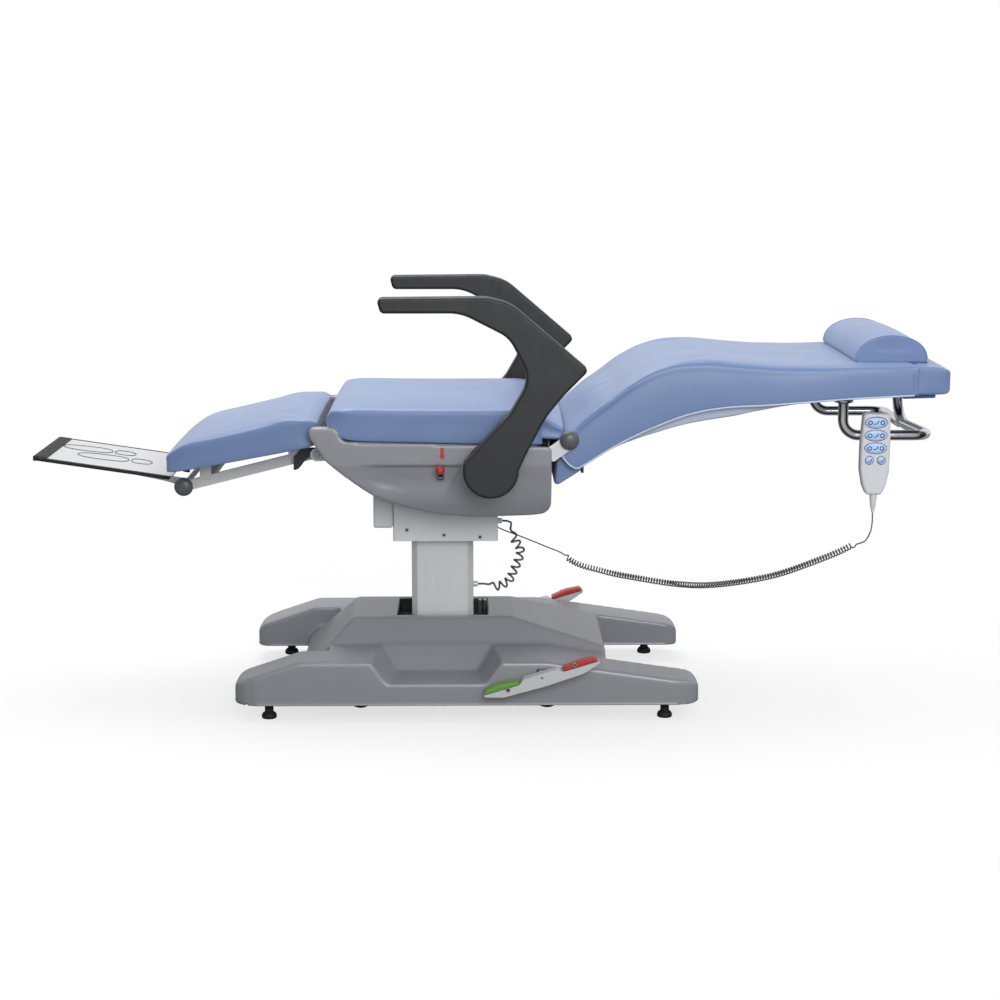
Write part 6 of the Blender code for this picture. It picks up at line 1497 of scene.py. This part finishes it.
stitchSet = {"along": 0.8842, "side": 0.2554, "from": 0.690, "to": 0.732, "gap": 0.0052, "thick": 0.0005,
             "long": 0.0018}
ribSet = {"axis": (0.8164, -0.214), "from": 0.4300, "to": 0.4480, "count": 7, "radii": (0.0034, 0.0068),
          "depth": 0.24}                # as a share of a rib's radius
bufferSet = {"places": [(-0.5957, 0.5235), (-0.6342, 0.5165)], "side": 0.150, "radius": 0.008, "tall": 0.018,
             "way": (0.18, 0, 0.98)}
terminalSet = {"places": [(-0.0112, 0.020), (-0.0004, 0.020)], "radius": 0.0046, "low": 0.150, "tall": 0.036,
               "cap": 0.004, "narrow": 0.9}


def makeRepeats():
    up = (0, 0, 1)

    def discs(name, places, radius, depth, *rest):
        repeat(name, discTree, places, {"Radius": radius, "Depth": depth, "Sides": 24}, *rest)

    t = stitchSet
    count = round((t["to"] - t["from"]) / t["gap"])
    places = [((t["along"], hand * t["side"], t["from"] + k * t["gap"]), up, 1.0)
              for k in range(count + 1) for hand in (-1, 1)]
    repeat("hood_stitches", stitchTree, places, {"Thick": t["thick"], "Long": t["long"]}, "thread", "back",
           "blue_upholstery")
    r = ribSet
    places = []
    for k in range(r["count"]):
        share = k / (r["count"] - 1)
        radius = r["radii"][0] + (r["radii"][1] - r["radii"][0]) * share
        places.append(((*r["axis"], r["from"] + (r["to"] - r["from"]) * share), up, radius))
    discs("boot_ribs", places, 1.0, r["depth"], "pale", "back", "pale_plastic")
    b = bufferSet
    places = [((u, hand * b["side"], v), b["way"], 1.0) for u, v in b["places"] for hand in (-1, 1)]
    discs("legrest_buffers", places, b["radius"], b["tall"], "rubber", "leg", "black_rubber")
    m = terminalSet
    places = [((u, y, m["low"] + m["tall"] / 2), up, 1.0) for u, y in m["places"]]
    discs("well_terminals", places, m["radius"], m["tall"], "dark", "base", "black_steel")
    places = [((u, y, m["low"] + m["tall"]), up, 1.0) for u, y in m["places"]]
    discs("well_terminal_caps", places, m["radius"] * m["narrow"], m["cap"], "zinc", "base", "grey_steel")
    print("repeats: stitches, ribs, buffers and terminals")


makeRepeats()


# one mesh from several
def joined(name, meshes):
    bm = bmesh.new()
    for mesh in meshes:
        bm.from_mesh(mesh)
        bpy.data.meshes.remove(mesh)
    mesh = toMesh(bm, name)
    mesh.shade_smooth()
    return mesh


def ovalPath(u, v, long, tall, y, steps):
    angles = [2 * math.pi * k / steps for k in range(steps)]
    return [Vector((u + long * math.cos(a), y, v + tall * math.sin(a))) for a in angles]


# the handset's body: a rounded outline in side view, with its cord boot and the hook it hangs by

handsetSet = {
    "outline": [(0.7906, 0.6400, 0.008), (0.8462, 0.6390, 0.008), (0.8480, 0.570, 0.30),
                (0.8470, 0.5150, 0.06), (0.8400, 0.4830, 0.030), (0.8310, 0.4670, 0.006),
                (0.8000, 0.4670, 0.008), (0.7915, 0.4870, 0.030), (0.7855, 0.5200, 0.06),
                (0.7860, 0.580, 0.30)],
    "face": (-0.2250, -0.1960),
    "round": (0.006, 5, 50),
    "bootAt": (0.8164, -0.214, 0.428),
    "boot": [(0, 0.0420), (0.0078, 0.0420), (0.0078, 0.0360), (0.0064, 0.0220), (0.0028, 0.0), (0, 0.0)],
    "hook": [(0.8060, 0.6300), (0.8268, 0.6300), (0.8268, 0.6000), (0.8060, 0.6000)],
    "hookFace": (-0.1980, -0.1747),
}


def makeHandset():
    h = handsetSet
    rest = ("back", "pale_plastic")
    addPlate("handset_shell", rounded(h["outline"], 8), *h["face"], "pale", h["round"], *rest,
             "handset_body")
    addTurned("handset_boot", h["boot"], h["bootAt"], (0, 0, 1), "pale", *rest, steps=32)
    addPlate("handset_hook", h["hook"], *h["hookFace"], "pale", (0.002,), *rest)
    print("handset: body, boot and hook")


makeHandset()


# handset keys: domed ovals with printed marks, each with a line round it on the body

keySet = {"line": 0.0007, "gap": 0.0013, "mark": 0.0011, "flat": 0.2, "ring": 0.0040, "apart": 0.0128,
          "dome": [(1.0, -0.0040), (1.0, 0.0004), (0.95, 0.0012), (0.80, 0.0018), (0.5, 0.0022),
                   (0, 0.0023)],
          "rocker": [(-0.0055, -0.0030), (0.0, -0.0022), (0.0030, 0.0005), (0.0045, 0.0045)],
          "push": [(-0.0045, -0.0030), (0.0020, -0.0028), (0.0045, 0.0030)]}


def makeKeys():
    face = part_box("handset_body")[0][1]
    k = keySet
    front = face - k["dome"][-1][1]
    flatten = (Matrix.Translation((0, front, 0)) @ Matrix.Diagonal((1, k["flat"], 1, 1))
               @ Matrix.Translation((0, -front, 0)))
    for kind, number in (("rocker", 1), ("rocker", 2), ("rocker", 3), ("push", 1), ("push", 2)):
        name = "%s_key_%d" % (kind, number)
        body = "%s_key_body_%d" % (kind, number)
        low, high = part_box(name)
        u, v = (low[0] + high[0]) / 2, (low[2] + high[2]) / 2
        long, tall = (high[0] - low[0]) / 2, (high[2] - low[2]) / 2
        mesh = lathe(name + "_dome", k["dome"], (0, 0, 0), (0, -1, 0))
        mesh.transform(Matrix.Translation((u, face, v)) @ Matrix.Diagonal((long, 1, tall, 1)))
        attach(newObject(name + "_dome", mesh, paint["key"]), body, "blue_keys", name)
        marks = []
        for hand in (-1, 1) if kind == "rocker" else ():
            ring = ovalPath(u + hand * k["apart"], v, k["ring"], k["ring"], front, 20)
            marks.append(tubeMesh("ring", ring, k["mark"], 6, True))
        stroke = [Vector((u + a, front, v + b)) for a, b in k[kind]]
        marks.append(tubeMesh("stroke", stroke, k["mark"], 6))
        mark = joined(name + "_mark", marks)
        mark.transform(flatten)
        attach(newObject(name + "_mark", mark, paint["ink"]), body, "blue_keys")
        line = ovalPath(u, v, long + k["gap"], tall + k["gap"], face, 48)
        addTube(name + "_line", line, k["line"], 6, "ink", "back", "blue_keys", ring=True)
    print("keys: five domes with marks")


makeKeys()


# thin outlines of two shoe soles on the foot plate, each a sole and a heel, and the plate's toe bar

soleSet = {
    "line": 0.0010,
    "blunt": (0.55, 0.9),               # how square the free and the inner end of a shape are
    "toe": [(-0.9625, 0.5290), (-0.9625, 0.5392), (-0.9570, 0.5402), (-0.9325, 0.5366), (-0.9325, 0.5290)],
    "toeHalf": 0.1375,
    # two ends and half width
    "shapes": {"sole_near": ((-0.8868, -0.0330), (-0.7790, -0.0204), 0.031),
               "heel_near": ((-0.7728, -0.0198), (-0.7287, -0.0162), 0.026),
               "sole_far": ((-0.9320, 0.0400), (-0.8266, 0.0540), 0.029),
               "heel_far": ((-0.8208, 0.0545), (-0.7763, 0.0574), 0.024)},
}


def makeSoles():
    blunt, full = soleSet["blunt"]
    for name, (start, end, half) in soleSet["shapes"].items():
        start, end = Vector(start), Vector(end)
        along = (end - start) / 2
        across = Vector((-along.y, along.x)).normalized() * half
        path = []
        for k in range(64):
            a = 2 * math.pi * k / 64
            c, s = math.cos(a), math.sin(a)
            square = blunt if name.startswith("sole") == (c > 0) else full
            spot = ((start + end) / 2 + along * math.copysign(abs(c)**square, c)
                    + across * math.copysign(abs(s)**full, s))
            path.append(Vector((spot.x, spot.y, plateLevel(spot.x) + trimSet["over"])))
        addTube(name + "_line", path, soleSet["line"], 6, "rubber", "step", "black_plastic", ring=True)
    half = soleSet["toeHalf"]
    addPlate("footplate_toe_bar", soleSet["toe"], -half, half, "rubber", (0.0015,), "step", "black_rubber")
    print("soles: four outlines and the toe bar")


makeSoles()


# the lever's red arrow and dark slot, the leg rest's hinge plates, and the strap under the hood, painted
# dark blue as painted shade

smallSet = {
    "arrow": [(-0.0930, 0.5765), (-0.0860, 0.5765), (-0.0860, 0.5605), (-0.0834, 0.5605), (-0.0895, 0.5510),
              (-0.0956, 0.5605), (-0.0930, 0.5605)],
    "arrowFace": (-0.2732, -0.2700),
    "slot": ((-0.0995, -0.2660, 0.5080), (-0.0869, -0.2100, 0.5410)),
    "plate": [(-0.3901, 0.5620, 0.003), (-0.3576, 0.5620, 0.004), (-0.3578, 0.5522, 0.004),
              (-0.3798, 0.5360, 0.010), (-0.3886, 0.5240, 0.010), (-0.3943, 0.5174, 0.004),
              (-0.4060, 0.5121, 0.003), (-0.4044, 0.5427, 0.004), (-0.3945, 0.5515, 0.006)],
    "plateSide": (0.1675, 0.1735),
    "strap": [(0.866, 0.6725, 0.003), (0.934, 0.6745, 0.003), (0.934, 0.6850, 0.002),
              (0.866, 0.6850, 0.002)],
    "strapHalf": 0.2420,
    "round": (0.001, 2),                # width and steps of the plates' and the strap's edges
}


def makeSmall():
    s = smallSet
    addPlate("lever_arrow", s["arrow"], *s["arrowFace"], "red", None, "seat", "red_plastic")
    low, high = s["slot"]
    outline = [(low[0], low[2]), (high[0], low[2]), (high[0], high[2]), (low[0], high[2])]
    bm = slabAcross(outline, low[1], high[1])
    bmesh.ops.delete(bm, geom=[f for f in bm.faces if f.normal.y < -0.9], context="FACES_ONLY")
    liner = newObject("lever_slot_liner", toMesh(bm, "lever_slot_liner"), paint["rubber"])
    attach(liner, "seat", "black_plastic")
    for side, hand in hands:
        addPlate("legrest_hinge_plate_" + side, rounded(s["plate"]), *mirrored(hand, *s["plateSide"]),
                 "black", s["round"], "leg", "black_steel")
    half = s["strapHalf"]
    # painted shade: the strap's upholstery takes the dark stitching colour for the shadow under the hood
    addPlate("hood_strap", rounded(s["strap"]), -half, half, "thread", s["round"], "back", "blue_upholstery")
    print("small pieces: arrow, slot, hinge plates and strap")


makeSmall()
